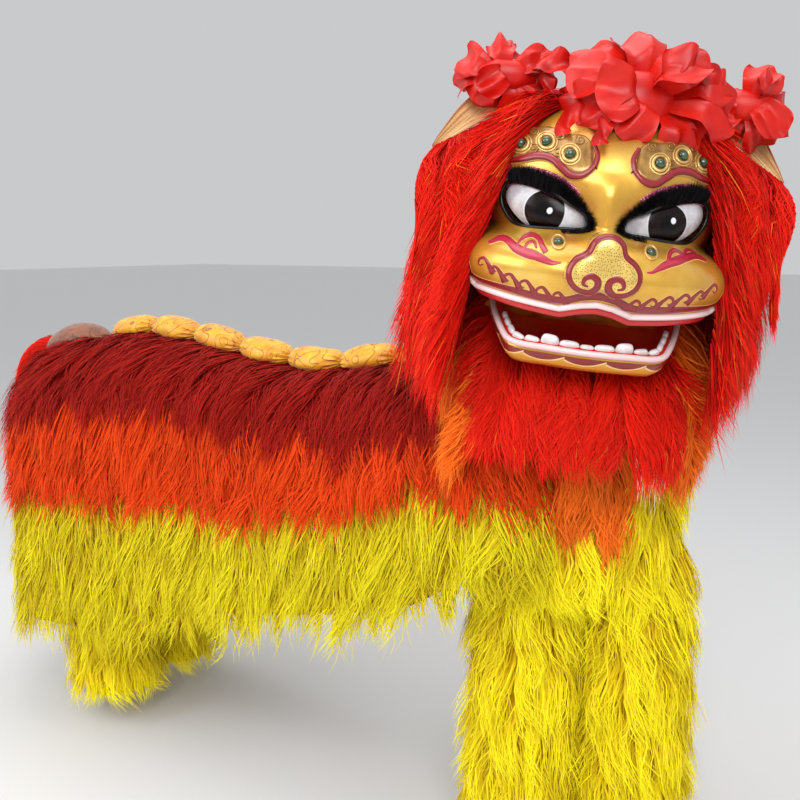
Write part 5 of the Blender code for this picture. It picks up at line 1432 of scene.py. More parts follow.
            make_piece("crest_band_" + side, band, maroon, "costume", close=False)
            domes = [dome(sign * x, z, 0.0095, 0.01, 0.006) for x, z in studs]
            make_piece("crest_glass_" + side, domes, glass, "costume",
                ["brow_stud_{}_{}".format(side, k) for k in (1, 2, 3)])
            cheek = [dome(sign * 0.078, 0.021, 0.0085, 0.009, 0.0)]
            make_piece("cheek_glass_" + side, cheek, glass, "costume", ["cheek_stud_" + side])
            make_piece("cheek_ring_" + side, [cup_ring(sign * 0.078, 0.021, 0.0105, 0.0022, 0.0012, 0)], cup,
                "costume")


def cup_ring(x, z, radius, thick, lift, paint):
    """A round rim lying on the face about a point."""
    angle = np.linspace(0, 2 * math.pi, 41)
    loop, _ = face_points(x + radius * np.cos(angle), z + radius * np.sin(angle), lift)
    return patch(tube(placed(HEAD, loop), thick, 8, False, 1.0, HEAD[:3, 1]), True, paint=paint)


def dome(x, z, radius, height, lift):
    """A cut of a ball on the face, its height a quarter wave over its radius."""
    turn_by = np.linspace(0, 2 * math.pi, 32, endpoint=False)
    centre, normal = face_points(np.array([x]), np.array([z]), np.array([lift]))
    centre, normal = centre[0], normal[0]
    side = unit(np.cross(normal, [0, 0, 1.0]))
    up = np.cross(side, normal)
    rise = np.linspace(0, math.pi / 2, 12)
    ring = np.cos(turn_by)[:, None] * side + np.sin(turn_by)[:, None] * up
    rows = [centre + normal * (height * math.cos(a)) + radius * math.sin(a) * ring for a in rise]
    rows.append(rows[-1] - normal * 0.004)
    rows.append(np.repeat((centre - normal * 0.004)[None], 32, axis=0))
    return patch(placed(HEAD, np.array(rows)), True)


# The jaw's rim from the hinge to the chin: half width, forward reach, height, share of the depth.
JAW_RIM = (
    (0.185, -0.026, 0.0, 0.45),
    (0.185, 0.03, 0.0, 0.7),
    (0.177, 0.11, 0.0, 1.0),
    (0.156, 0.195, 0.001, 1.0),
    (0.132, 0.24, 0.006, 1.0),
    (0.07, 0.262, 0.016, 1.0),
    (0.0, 0.268, 0.018, 1.0),
)
PIPING_RADIUS = 0.0055
JAW_DEPTH, JAW_WALL = 0.045, 0.004


def jaw_path(inset, drop, count=121):
    """The jaw's rim from one hinge to the other, smoothed, and drawn inwards and down."""
    half = np.array(JAW_RIM)
    right = half[-2::-1] * np.array([-1, 1, 1, 1])
    line = smooth_path(np.concatenate([half, right]), count)
    path = np.stack([line[:, 0], -line[:, 1], line[:, 2]], axis=1)
    step = np.gradient(path, axis=0)
    step[:, 2] = 0
    inward = unit(np.stack([step[:, 1], -step[:, 0], np.zeros(count)], axis=1))
    path = path + inward * inset
    path[:, 2] -= drop * line[:, 3]
    return path, inward


def jaw_bowl(inset, drop=0.0):
    """The jaw's bowl as rows from its rim down the side to the middle of its floor, an inset inside it."""
    rows = [jaw_path(inset + 0.2 * drop, drop)[0], jaw_path(inset + 0.001, 0.01)[0],
        jaw_path(inset + 0.005, 0.024)[0]]
    rows += [jaw_path(inset + 0.011, 0.036)[0], jaw_path(inset + 0.018, JAW_DEPTH - inset)[0]]
    for share in (0.2, 0.5, 1.0):
        floor = rows[4] * np.array([1 - 0.4 * share, 1, 1])
        shallow = np.clip(rows[4][:, 1] + 0.04, -0.215 + inset, -0.06)
        floor[:, 1] = rows[4][:, 1] * (1 - share) + shallow * share
        floor[:, 2] = rows[4][:, 2] * (1 - share) + (inset - JAW_DEPTH - 0.006) * share
        rows.append(floor)
    rows.append(rows[-1] * np.array([0.5, 1, 1]))
    rows.append(rows[-1] * np.array([0.0, 1, 1]))
    return np.array(rows)


def tooth(base, across, away, width, height, thick):
    """A rounded tooth, a superellipsoid whose crown narrows and whose root sinks in the gum."""
    latitude, longitude = np.linspace(0, math.pi, 15), np.linspace(0, 2 * math.pi, 20, endpoint=False)
    u, v = np.meshgrid(latitude, longitude, indexing="ij")

    def power(value, exponent):
        return np.sign(value) * np.abs(value) ** exponent

    up = power(np.cos(u), 0.55)
    x = power(np.sin(u), 0.55) * power(np.cos(v), 0.65)
    y = power(np.sin(u), 0.55) * power(np.sin(v), 0.75)
    taper = 1 - 0.14 * np.clip(up, 0, 1) + 0.03 * np.sin(3 * v)
    return base + (x * taper * width / 2)[..., None] * across + (y * taper * thick / 2)[..., None] * away + (
        (up * 0.5 + 0.5) * height)[..., None] * np.array([0, 0, 1.0]) - np.array([0, 0, 0.004])


def thicken(piece, thickness=0.002):
    """Give a sheet its cloth's thickness, half to each side."""
    wall = piece.modifiers.new("wall", "SOLIDIFY")
    wall.thickness, wall.offset = thickness, 0.0


class COSTUME_OT_mouth(bpy.types.Operator):
    """Build the lips, the mouth's lining, the hinged jaw and its teeth"""

    bl_idname = "costume.mouth"
    bl_label = "Mouth and Jaw"

    def execute(self, context):
        self.upper_lip()
        self.lower_jaw()
        self.teeth()
        return {"FINISHED"}

    @staticmethod
    def rim(reach, count=140):
        """The mask's lower edge at the front, and the level direction out of it."""
        azimuth = np.radians(np.linspace(-reach, reach, count))
        direction = directions(edge_polar(azimuth), azimuth)
        path = HEAD_CENTRE + direction * mask_radius(direction)[:, None]
        outward = (path - HEAD_CENTRE) * np.array([1, 1, 0])
        return path, unit(outward)

    def upper_lip(self):
        pink = banded("lip_piping", (
            (0.0, linear(250, 226, 226)), (0.35, linear(238, 190, 192)), (0.55, linear(222, 120, 124)),
            (0.75, linear(240, 200, 200)), (1.0, linear(250, 226, 226)),
        ), roughness=0.3)
        path, outward = self.rim(77)
        middle = path - outward * 0.0025 - np.array([0, 0, PIPING_RADIUS + 0.0003])
        rings = tube(placed(HEAD, middle), PIPING_RADIUS * 1.05, 16, reference=HEAD[:3, 2])
        make_piece("lip_edge", [patch(rings, True)], pink, "costume", ["lip_trim"])
        lip, out = self.rim(67, 110)
        across = np.linspace(-1, 1, 110)
        vault = np.stack([across * 0.12, -0.08 - 0.03 * (1 - across**2), np.full(110, 0.0)], axis=1)
        throat = np.stack([across * 0.13, np.full(110, -0.03), np.full(110, -0.05)], axis=1)
        hem = throat * np.array([0.9, 1, 1]) + np.array([0, 0.006, -0.062])
        palate = lip - out * 0.045
        palate[:, 2] = -0.018
        up = np.array([0, 0, 1.0])
        thin = (1 - 0.6 * across**6)[:, None]
        # Steps back from the lip's edge and up from it, and the share of the rise that thins at the corners.
        roll = (
            (0.0045, -0.008, 0.0), (0.0046, -0.002, -0.012), (0.0054, 0.0, -0.02), (0.0074, 0.0, -0.023),
            (0.01, 0.0, -0.0215), (0.012, -0.012, 0.0), (0.0145, 0.006, 0.0),
        )
        rows = [lip - out * back + up * (rise + thinning * thin) for back, rise, thinning in roll]
        behind, deep = (palate + vault) / 2 + up * 0.01, (vault + throat) / 2 + np.array([0, 0.012, 0.004])
        rows += [palate, behind, vault, deep, throat, hem]
        grid = np.stack([smooth_path(column, 60) for column in np.stack(rows, axis=1)], axis=1)
        red = Paint("mouth_red", roughness=0.3, coat_weight=0.15, coat_roughness=0.1)
        v = red.axis(red.weave(), "Y")
        cloud = red.noise(red.place(HEAD_TURNS), 30.0, 3.0)
        # Along v from the lip's edge back into the throat: the lip's pink-red, then a deeper red inside the
        # mouth that is painted shade, a little lighter again at the hem.
        colour = red.ramp(v + (cloud - 0.5) * 0.1, (0.0, linear(196, 36, 40)), (0.16, linear(214, 56, 52)),
            (0.26, linear(150, 16, 12)), (0.6, linear(150, 12, 8)), (1.0, linear(176, 22, 10)))
        red = red.feed(base_color=colour, normal=red.bump(cloud, 0.15, 0.003))
        piece = make_piece("mouth_vault", [patch(placed(HEAD, grid))], red, "costume",
            ["mouth_lining"], outward=False)
        thicken(piece)

    @staticmethod
    def lower_jaw():
        # Dark airbrushed orange low on the jaw's front, partly painted shade under the lip.
        airbrush_and_shade_spots = (((0.0, -0.26, -0.045), 0.06, (2.6, 1, 0.5)),)
        gold = gold_paint("jaw_gold", JAW_TURNS, airbrush_and_shade_spots)
        outer, inner = placed(JAW, jaw_bowl(0.0)), placed(JAW, jaw_bowl(JAW_WALL))
        make_piece("jaw_bowl", shell_patches(outer, inner, False, (0,)), gold, "lower_jaw",
            ["jaw"])
        red = Paint("tongue_red", roughness=0.18, coat_weight=0.8, coat_roughness=0.06)
        place = red.place(JAW_TURNS)
        cloud = red.noise(place, 40.0, 3.0)
        y = red.axis(place, "Y")
        # The floor lightens to a warmer orange-red towards its back: painted light on the jaw's floor.
        colour = red.mix(red.step(y, -0.16, -0.06), linear(214, 36, 26), linear(236, 50, 18))
        colour = red.mix(red.step(cloud, 0.45, 0.75) * 0.4, colour, linear(232, 84, 48))
        red = red.feed(base_color=colour, normal=red.bump(cloud, 0.2, 0.004))
        lining = [placed(JAW, jaw_bowl(JAW_WALL + extra, 0.0015)) for extra in (0.0003, 0.0028)]
        gum = jaw_path(JAW_WALL / 2 + PIPING_RADIUS + 0.007, 0.0)[0]
        gum = gum[14:-14]
        gum[:, 2] += 0.0005
        ridge = tube(placed(JAW, gum), 0.009, 14, flat=0.8, reference=JAW[:3, 2])
        make_piece("jaw_red", [*shell_patches(*lining, False, (0,)), patch(ridge, True)], red, "lower_jaw",
            ["jaw_lining"])
        path = jaw_path(JAW_WALL / 2, 0.0)[0]
        path[:, 2] += PIPING_RADIUS + 0.0003
        pink = banded("jaw_piping", (
            (0.0, linear(250, 226, 226)), (0.35, linear(244, 214, 214)), (0.6, linear(232, 168, 170)),
            (0.8, linear(246, 220, 220)), (1.0, linear(250, 226, 226)),
        ), JAW_TURNS, roughness=0.3)
        rings = tube(placed(JAW, path[2:-2]), PIPING_RADIUS * 1.05, 16, reference=JAW[:3, 2])
        make_piece("jaw_edge", [patch(rings, True)], pink, "lower_jaw", ["jaw_trim"])
        wave = Paint("jaw_wave", roughness=0.32, coat_weight=0.4)
        u, v = (wave.axis(wave.weave(), letter) for letter in ("X", "Y"))
        phase = wave.fraction(u * 17.0)
        crest = phase * (1 - phase) * 2.2 + phase * 0.25
        edge = v - crest * 0.85 - 0.12
        gold_colour = wave.mix(wave.step(edge, -0.03, 0.03), linear(140, 16, 26), linear(226, 164, 62))
        line = 1 - wave.step(abs(edge), 0.05, 0.09)
        wave = wave.feed(base_color=wave.mix(line, gold_colour, linear(250, 214, 140)))
        rows = []
        for inset, drop in ((0.0005, 0.004), (0.001, 0.01), (0.0025, 0.017), (0.005, 0.024),
            (0.0085, 0.031)):
            rows.append(jaw_path(inset - 0.0016, drop)[0][16:-16])
        strip = placed(JAW, np.array(rows))
        make_piece("jaw_wave", [patch(strip, flip=True)], wave, "lower_jaw", close=False)

    @staticmethod
    def teeth():
        enamel = Paint("tooth_enamel", roughness=0.16, coat_weight=0.8, coat_roughness=0.05)
        place = enamel.place(JAW_TURNS)
        cloud = enamel.noise(enamel.scaled(place, (60.0, 60.0, 30.0)), 1.0, 3.0)
        z = enamel.axis(place, "Z")
        white = enamel.ramp(cloud, (0.3, linear(222, 212, 216)), (0.6, linear(250, 248, 248)))
        # Grey-purple towards the root: painted shade where the teeth sink into the gum.
        white = enamel.mix(1 - enamel.step(z, 0.0, 0.012), white, linear(168, 142, 156))
        enamel = enamel.feed(base_color=white)
        inset = JAW_WALL / 2 + PIPING_RADIUS + 0.0003 + 0.0105
        rim, inward = jaw_path(inset, 0.0, 400)
        length = np.concatenate([[0], np.cumsum(np.linalg.norm(np.diff(rim, axis=0), axis=1))])
        middle = length[-1] / 2
        teeth = []
        # Place from the chin's middle, width, height.
        for place_by, width, height in (
            (0.0, 0.026, 0.01), (0.031, 0.036, 0.014), (0.066, 0.032, 0.0215), (0.098, 0.028, 0.0125),
            (0.126, 0.026, 0.013), (0.153, 0.026, 0.014), (0.179, 0.024, 0.0135), (0.202, 0.02, 0.012),
        ):
            for sign in ((1,) if place_by == 0 else (1, -1)):
                wanted = middle + sign * place_by
                base = np.array([np.interp(wanted, length, rim[:, k]) for k in range(3)])
                away = np.array([np.interp(wanted, length, inward[:, k]) for k in range(3)])
                across = np.cross(away, [0, 0, 1.0])
                teeth.append(patch(placed(JAW,
                    tooth(base, across, away, width * 1.04, height + 0.006, 0.0115)), True))
        make_piece("teeth_lower", teeth, enamel, "lower_jaw", ["lower_teeth"])
        for side, sign in SIDES.items():
            low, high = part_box("upper_fang_" + side)
            low, high = np.array(low), np.array(high)
            middle = np.linalg.inv(HEAD) @ np.array([*((low + high) / 2), 1.0])
            t = np.linspace(0, 1, 14)[:, None]
            around = np.linspace(0, 2 * math.pi, 20, endpoint=False)[None]
            radius = 0.0075 * np.sqrt(np.clip(1 - t**2.2, 0, 1)) * (1 - 0.15 * t)
            fang = np.stack([middle[0] + radius * np.cos(around), middle[1] + 0.8 * radius * np.sin(around),
                middle[2] + 0.013 - 0.023 * t + 0 * around], axis=-1)
            top = fang[:1].mean(axis=1, keepdims=True).repeat(20, axis=1)
            make_piece("fang_" + side, [patch(placed(HEAD, np.concatenate([top, fang])), True)], enamel,
                "costume", ["upper_fang_" + side])


EAR_ROWS = np.array((
    (0.088, 0.0, 0.226, 0.025),
    (0.15, -0.004, 0.28, 0.052),
    (0.203, -0.012, 0.248, 0.06),
    (0.255, -0.024, 0.21, 0.052),
    (0.299, -0.034, 0.179, 0.026),
    (0.325, -0.04, 0.16, 0.006),
))


def satin(name, dark, middle, bright, scale=40.0, **constants):
    """Glossy cloth: a fine weave on its own map, and a tone that follows the same noise as its bumped folds,
    darker in their hollows and lighter on their crests as painted shade and highlight.
    """
    settings = {"roughness": 0.4, "sheen_weight": 0.3, "sheen_roughness": 0.3, **constants}
    paint = Paint(name, **settings)
    cloud = paint.noise(paint.place(), scale, 4.0)
    # The folds' noise sets both the bump and the tone: painted shade in the hollows, painted highlight on the
    # crests.
    colour = paint.ramp(cloud, (0.25, linear(*dark)), (0.5, linear(*middle)), (0.78, linear(*bright)))
    threads = paint.noise(paint.scaled(paint.weave(), (600.0, 60.0, 1.0)), 1.0, 1.0)
    return paint.feed(base_color=colour, roughness=cloud * 0.25 + 0.26,
        normal=paint.bump(threads + cloud * 2.0, 0.15, 0.0006))


def petals(centre, half, count, size, rng, facing):
    """Folded lobes of satin, gathered in a bunch's core and laid over towards its rim.

    Each is a fan of two parameters v and u. It leaves the core along its own direction, turns by
    an angle that grows as v, and so lies flat on the bunch's rounded outside; creases that
    radiate from its root are folded into it as 1 - 2|sin|, and its free edge waves.
    """
    centre, half, facing = np.asarray(centre, float), np.asarray(half, float), unit(np.asarray(facing, float))
    index = np.arange(count) + 0.5
    polar = np.arccos(1 - 2 * index / count)
    around = index * 2.399963 + rng.normal(0, 0.12, count)
    aim = np.stack([np.sin(polar) * np.sin(around), -np.sin(polar) * np.cos(around), np.cos(polar)], axis=1)
    aim = aim[(aim @ facing) > -0.45]
    count = len(aim)
    away = unit((aim @ facing)[:, None] * aim - facing + rng.normal(0, 0.25, (count, 3)))
    away = unit(away - (away * aim).sum(axis=1, keepdims=True) * aim)
    side = np.cross(aim, away)
    v, u = np.meshgrid(np.linspace(0, 1, 19), np.linspace(-1, 1, 25), indexing="ij")
    phase = rng.uniform(0, 6.28, (4, count, 1, 1))
    width = size * rng.uniform(0.85, 1.2, (count, 1, 1)) * (0.16 + 1.0 * v**0.65 - 0.22 * v**6)
    angle = v * rng.uniform(1.7, 2.5, (count, 1, 1)) * (1 - 0.18 * np.abs(u) ** 2)
    rise = rng.uniform(0.62, 0.84, (count, 1, 1)) + 0.26 * np.sin(np.minimum(angle, 2.0))
    reach = 0.12 + (rise - 0.12) * np.clip(v / 0.35, 0, 1) ** 0.8
    lean = size * 1.25 * (1 - np.cos(angle)) * (1 - 0.1 * np.abs(u) ** 3)
    crease = 1 - 2 * np.abs(np.sin(u * 2.2 + phase[0] + 0.7 * v)) + 0.6 * np.sin(u * 3.2 + phase[1] - 2.2 * v)
    wave = 0.16 * v**3 * np.sin(u * 5.0 + phase[2]) + 0.09 * v * np.abs(np.sin(5.0 * v + 2.4 * u + phase[3]))
    fold = size * (0.17 * np.sqrt(v) * crease + wave)
    outward = aim[:, None, None] * (half * reach[..., None] + fold[..., None])
    points = centre + outward + (u * width)[..., None] * side[:, None, None] + lean[..., None] * away[:, None,
        None]
    return [patch(placed(HEAD, points[k])) for k in range(count)]


def ribbon(path, width, rng, twist=0.5, rows=40):
    """A loose ribbon along a path, its section bowed and its edges waving."""
    line = smooth_path(path, rows)
    along = unit(np.gradient(line, axis=0))
    side = unit(np.cross(along, np.array([0.15, -1.0, 0.35])))
    over = np.cross(side, along)
    t = np.linspace(0, 1, rows)[:, None]
    place = np.linspace(-1, 1, 9)[None, :]
    turned = twist * np.sin(t * 5 + rng.uniform(0, 6)) + 0.3 * np.sin(11 * t)
    across = side[:, None] * np.cos(turned)[..., None] + over[:, None] * np.sin(turned)[..., None]
    bow = 0.18 * width * (place**2) + 0.1 * width * np.sin(9 * t + 2.5 * place)
    points = line[:, None] + across * (place * width / 2)[..., None] + over[:, None] * bow[..., None]
    return patch(placed(HEAD, points))


class COSTUME_OT_dressing(bpy.types.Operator):
    """Fold the satin flowers and ribbons, and sew the ears"""

    bl_idname = "costume.dressing"
    bl_label = "Flowers and Ears"

    def execute(self, context):
        red = satin("flower_satin", (166, 8, 3), (208, 20, 8), (230, 40, 18), 14.0, sheen_weight=0.0,
            specular_ior_level=0.42)
        rng = np.random.default_rng(101)
        centre = petals((0.044, -0.08, 0.277), (0.128, 0.092, 0.084), 58, 0.046, rng, (0.1, -0.8, 0.45))
        stem = ((0.028, -0.06, 0.235), (0.028, -0.07, 0.26), (0.028, -0.08, 0.295), (0.028, -0.09, 0.33))
        core = tube(placed(HEAD, np.array(stem)), (0.06, 0.075, 0.075, 0.04), 20)
        centre.append(patch(core, True))
        for path in (
            [(-0.02, -0.165, 0.235), (-0.028, -0.188, 0.215), (-0.032, -0.2, 0.188)],
            [(-0.06, -0.14, 0.255), (-0.09, -0.15, 0.225), (-0.094, -0.16, 0.2)],
        ):
            centre.append(ribbon(path, 0.03, rng))
        make_piece("flower_crown", centre, red, "costume", ["flower_centre"], outward=False)
        for side, bunch, half, path, tail in (
            ("right", (-0.204, -0.03, 0.306), (0.08, 0.044, 0.046),
                [(-0.15, -0.045, 0.335), (-0.115, -0.06, 0.33), (-0.07, -0.07, 0.318)],
                [(-0.135, -0.05, 0.325), (-0.128, -0.062, 0.29), (-0.12, -0.07, 0.262)]),
            ("left", (0.24, -0.03, 0.292), (0.076, 0.046, 0.048),
                [(0.19, -0.045, 0.325), (0.16, -0.06, 0.322), (0.12, -0.07, 0.312)],
                [(0.205, -0.05, 0.315), (0.196, -0.062, 0.28), (0.2, -0.07, 0.252)]),
        ):
            made = petals(bunch, half, 22, 0.033, rng, (0.1, -0.9, 0.3))
            made.append(patch(tube(placed(HEAD,
                np.array([np.array(bunch) + (step, 0, 0) for step in (-0.055, -0.02, 0.02, 0.055)])),
                (0.015, 0.03, 0.03, 0.015), 16), True))
            made.append(ribbon(path, 0.052, rng, 0.25))
            made.append(ribbon(tail, 0.028, rng, 0.3))
            make_piece("flower_" + side + "_ear", made, red, "costume", ["flower_" + side],
                outward=False)
        self.ears()
        return {"FINISHED"}

    @staticmethod
    def ears():
        rows = smooth_path(EAR_ROWS, 60)
        wide = unit(np.array([0.45, 0.42, 0.79]))
        thick = unit(np.cross(rows[-1, :3] - rows[6, :3], wide))
        place = np.linspace(0, 1, 25)
        paint = Paint("ear_cloth", roughness=0.42, metallic=0.15, sheen_weight=0.3)
        u, v = (paint.axis(paint.weave(), letter) for letter in ("X", "Y"))
        streak = paint.noise(paint.node("ShaderNodeCombineXYZ", {}, {0: u * 46.0, 1: v * 3.0}), 1.0, 4.0)
        colour = paint.ramp(streak, (0.3, linear(156, 98, 46)), (0.5, linear(214, 166, 104)),
            (0.72, linear(244, 214, 160)))
        edge = paint.step(abs(u - 0.5), 0.44, 0.48)
        paint = paint.feed(base_color=paint.mix(edge, colour, linear(196, 104, 44)),
            normal=paint.bump(streak, 0.4, 0.0012))
        for side, sign in SIDES.items():
            faces = []
            for offset in (0.0018, -0.0018):
                cup = 0.01 * np.sin(math.pi * place)[None] * np.minimum(rows[:, 3:] / 0.05, 1)
                fold = 0.0012 * np.sin(place * 30)[None]
                grid = rows[:, None, :3] + wide * (rows[:, 3:] * place)[...,
                    None] - thick * (cup + fold + offset)[..., None]
                faces.append(placed(HEAD, grid * np.array([sign, 1, 1])))
            make_piece("ear_leaf_" + side, shell_patches(*faces), paint, "costume",
                ["ear_" + side])


NECK_ROWS = ((-0.175, 0.206, 0.104, 0.08), (-0.245, 0.222, 0.134, 0.06), (-0.292, 0.226, 0.145, 0.055))


def sheet_area(grid, wrap=False):
    """Area of a grid of points, as the sum of its cells' two triangles."""
    if wrap:
        grid = np.concatenate([grid, grid[:, :1]], axis=1)
    a, b, c, d = grid[:-1, :-1], grid[:-1, 1:], grid[1:, 1:], grid[1:, :-1]
    first = np.linalg.norm(np.cross(b - a, c - a), axis=-1)
    second = np.linalg.norm(np.cross(c - a, d - a), axis=-1)
    return float((first + second).sum() / 2)


class COSTUME_OT_cloths(bpy.types.Operator):
    """Hang the golden neck cloth and the red cloth under the skin's fur"""

    bl_idname = "costume.cloths"
    bl_label = "Cloths"

    def execute(self, context):
        gold = satin("neck_satin", (168, 84, 10), (224, 138, 24), (250, 196, 80), 18.0, metallic=0.15)
        azimuth = np.linspace(0, 2 * math.pi, 144, endpoint=False)
        keys = ((-0.108, 0.178, 0.15, 0.02), (-0.13, 0.19, 0.135, 0.04), *NECK_ROWS)
        table = smooth_path(np.array(keys), 40)
        t = np.linspace(0, 1, 40)[:, None]
        waves = 0.03 * np.sin(azimuth * 17 + 2.5 * t) + 0.018 * np.sin(azimuth * 31 + 5 * t)
        fold = 1 + waves * rounded(4 * t)
        front = np.clip(np.cos(azimuth), 0, 1)[None] ** 2 * (1 - t) ** 2
        x = table[:, 1:2] * np.sin(azimuth) * fold
        y = table[:, 3:4] - table[:, 2:3] * np.cos(azimuth) * fold * (1 - 0.75 * front)
        z = table[:, :1] + 0 * azimuth
        grid = placed(HEAD, np.stack([x, y, z], axis=-1))
        neck = make_piece("neck_satin", [patch(grid, True)], gold, "costume", ["neck_cloth"],
            close=False)
        thicken(neck)
        area = sheet_area(grid, True)
        guide, (_, _, hem) = skin_guide()
        cloth_paint = Paint("skin_backing", roughness=0.8, sheen_weight=0.2)
        place = cloth_paint.place()
        weft = cloth_paint.node("ShaderNodeTexWave", {"bands_direction": "Z"},
            {"Vector": place, "Scale": 160.0, "Distortion": 0.6})
        cloud = cloth_paint.noise(place, 8.0, 4.0)
        colour = cloth_paint.ramp(cloud, (0.3, linear(120, 10, 10)), (0.7, linear(170, 26, 20)))
        cloth_paint = cloth_paint.feed(base_color=colour, normal=cloth_paint.bump(weft, 0.2, 0.0006))
        share = np.linspace(0, 1, 30)[:, None]
        column = np.broadcast_to(np.arange(len(guide.points))[None].astype(float), (30, len(guide.points)))
        distance = share * (hem - 0.03)[None]
        points = guide.read(guide.points, column,
            distance) - 0.002 * unit(guide.read(guide.normal, column, distance))
        skin = make_piece("skin_cloth", [patch(points)], cloth_paint, "costume", ["body_cloth"],
            close=False)
        thicken(skin)
        area = sheet_area(points)
        return {"FINISHED"}


PUFF_COUNT, PUFF_FIRST, PUFF_PITCH, PUFF_HALF_WIDTH, PUFF_HALF_HEIGHT = 7, -1.465, 0.165, 0.048, 0.034


def scroll_print(paint, base, line, scale):
    """Thin scrolling lines on a cloth: rings of a twisted, distorted distance in repeating cells."""
    place = paint.place()
    swirl = paint.noise(place, scale * 0.35, 2.0)
    bent = paint.node("ShaderNodeVectorMath", {"operation": "ADD"},
        {0: place, 1: paint.node("ShaderNodeCombineXYZ", {},
        {0: swirl * (3.0 / scale), 1: swirl * (2.0 / scale), 2: swirl * (2.5 / scale)})})
    cell = paint.node("ShaderNodeTexVoronoi", {"feature": "F1"},
        {"Vector": bent, "Scale": scale, "Randomness": 0.75}, "Distance")
    rings = paint.fraction(cell * 3.6 + swirl * 1.5)
    thin = 1 - paint.step(abs(rings - 0.5), 0.05, 0.09)
    return paint.mix(thin * 0.8, base, line)


class COSTUME_OT_spine(bpy.types.Operator):
    """Stuff the printed satin puffs along the ridge and the brocade pad at its end"""

    bl_idname = "costume.spine"
    bl_label = "Spine Puffs and Tail Pad"

    def execute(self, context):
        paint = Paint("printed_satin", roughness=0.38, sheen_weight=0.3)
        cloud = paint.noise(paint.place(), 30.0, 3.0)
        base = paint.ramp(cloud, (0.3, linear(216, 138, 2)), (0.55, linear(234, 170, 4)),
            (0.8, linear(246, 200, 24)))
        colour = scroll_print(paint, base, linear(150, 74, 10), 19.0)
        v = paint.axis(paint.weave(), "Y")
        gather = paint.node("ShaderNodeTexWave", {"bands_direction": "X"},
            {"Vector": paint.weave(), "Scale": 9.0, "Distortion": 1.5, "Detail": 2.0})
        pulled = paint.step(abs(v - 0.5), 0.28, 0.48)
        paint = paint.feed(base_color=colour, normal=paint.bump(gather * pulled + cloud * 0.3, 0.5, 0.004))
        for count in range(PUFF_COUNT):
            make = self.puff(count, paint)
        self.tail_pad()
        return {"FINISHED"}

    @staticmethod
    def puff(count, paint):
        """A bolster crowned in the middle and gathered at both ends, with pleats that fade inwards."""
        middle = PUFF_FIRST + PUFF_PITCH * (count + 0.5)
        t = np.linspace(-1, 1, 56)[:, None]
        around = np.linspace(0, 2 * math.pi, 72, endpoint=False)[None]
        size = np.clip(1 - np.abs(t) ** 3.2, 0, 1) ** 0.55 * 0.93 + 0.1 * (1 - t**2)
        size = np.maximum(size, 0.18)
        pleat = 1 + 0.1 * rounded((np.abs(t) - 0.45) / 0.5) * np.sin(around * 13 + count)
        pleat = pleat + 0.015 * np.sin(around * 5 + 4 * t + count)
        x = middle + t * (PUFF_PITCH / 2 + 0.001) + 0 * around
        y = SKIN_MID_Y + PUFF_HALF_WIDTH * 1.06 * size * pleat * np.cos(around)
        top = PUFF_HALF_HEIGHT * size * pleat * np.sin(around)
        ridge = skin_row(x, 2)
        z = ridge + 0.022 + np.where(top > 0, top * 1.15, top * 0.75)
        grid = np.stack([x, y, z], axis=-1)
        ends = [grid[k][None].mean(axis=1, keepdims=True).repeat(72, axis=1) for k in (0, -1)]
        grid = placed(FLOOR, np.concatenate([ends[0], grid, ends[1]]))
        return make_piece("spine_puff_{}".format(count + 1), [patch(grid, True)], paint, "costume",
            ["spine_pad_{}".format(count + 1)])

    @staticmethod
    def tail_pad():
        """An oval pad over the rump: sizes of oval section smoothed along its length, with a seam round it."""
        keys = np.array(((-1.74, 0.02, 0.05), (-1.73, 0.42, 0.045), (-1.7, 0.86, 0.028),
            (-1.62, 1.05, 0.004), (-1.545, 0.9, 0.0), (-1.5, 0.45, 0.0), (-1.488, 0.02, 0.0)))
        rows = smooth_path(keys, 60)
        around = np.linspace(0, 2 * math.pi, 80, endpoint=False)[None]
        seam = 1 + 0.05 * bell(np.sin(around), 0.12)
        pleat = 1 + 0.012 * np.sin(around * 9) * np.linspace(1, -1, 60)[:, None]
        x = rows[:, :1] + 0 * around
        y = SKIN_MID_Y - 0.02 + 0.062 * np.clip(rows[:, 1:2], 0, 2) * np.cos(around) * seam * pleat
        z = 1.11 - rows[:, 2:3] + 0.046 * np.clip(rows[:, 1:2], 0, 2) * np.sin(around) * pleat
        paint = Paint("tail_brocade", roughness=0.55, sheen_weight=0.35)
        cloud = paint.noise(paint.place(), 22.0, 4.0)
        # The brocade's tan-brown is partly its own colour and partly painted shade over the rump's top.
        base = paint.ramp(cloud, (0.3, linear(112, 60, 36)), (0.6, linear(150, 88, 56)),
            (0.85, linear(178, 118, 80)))
        colour = scroll_print(paint, base, linear(86, 34, 26), 20.0)
        weave = paint.node("ShaderNodeTexWave", {"bands_direction": "DIAGONAL"},
            {"Vector": paint.place(), "Scale": 240.0, "Distortion": 0.4})
        paint = paint.feed(base_color=colour, normal=paint.bump(weave + cloud, 0.25, 0.0012))
        pad = make_piece("tail_cushion", [patch(placed(FLOOR, np.stack([x, y, z], axis=-1)), True)], paint,
            "costume", ["tail_pad"])


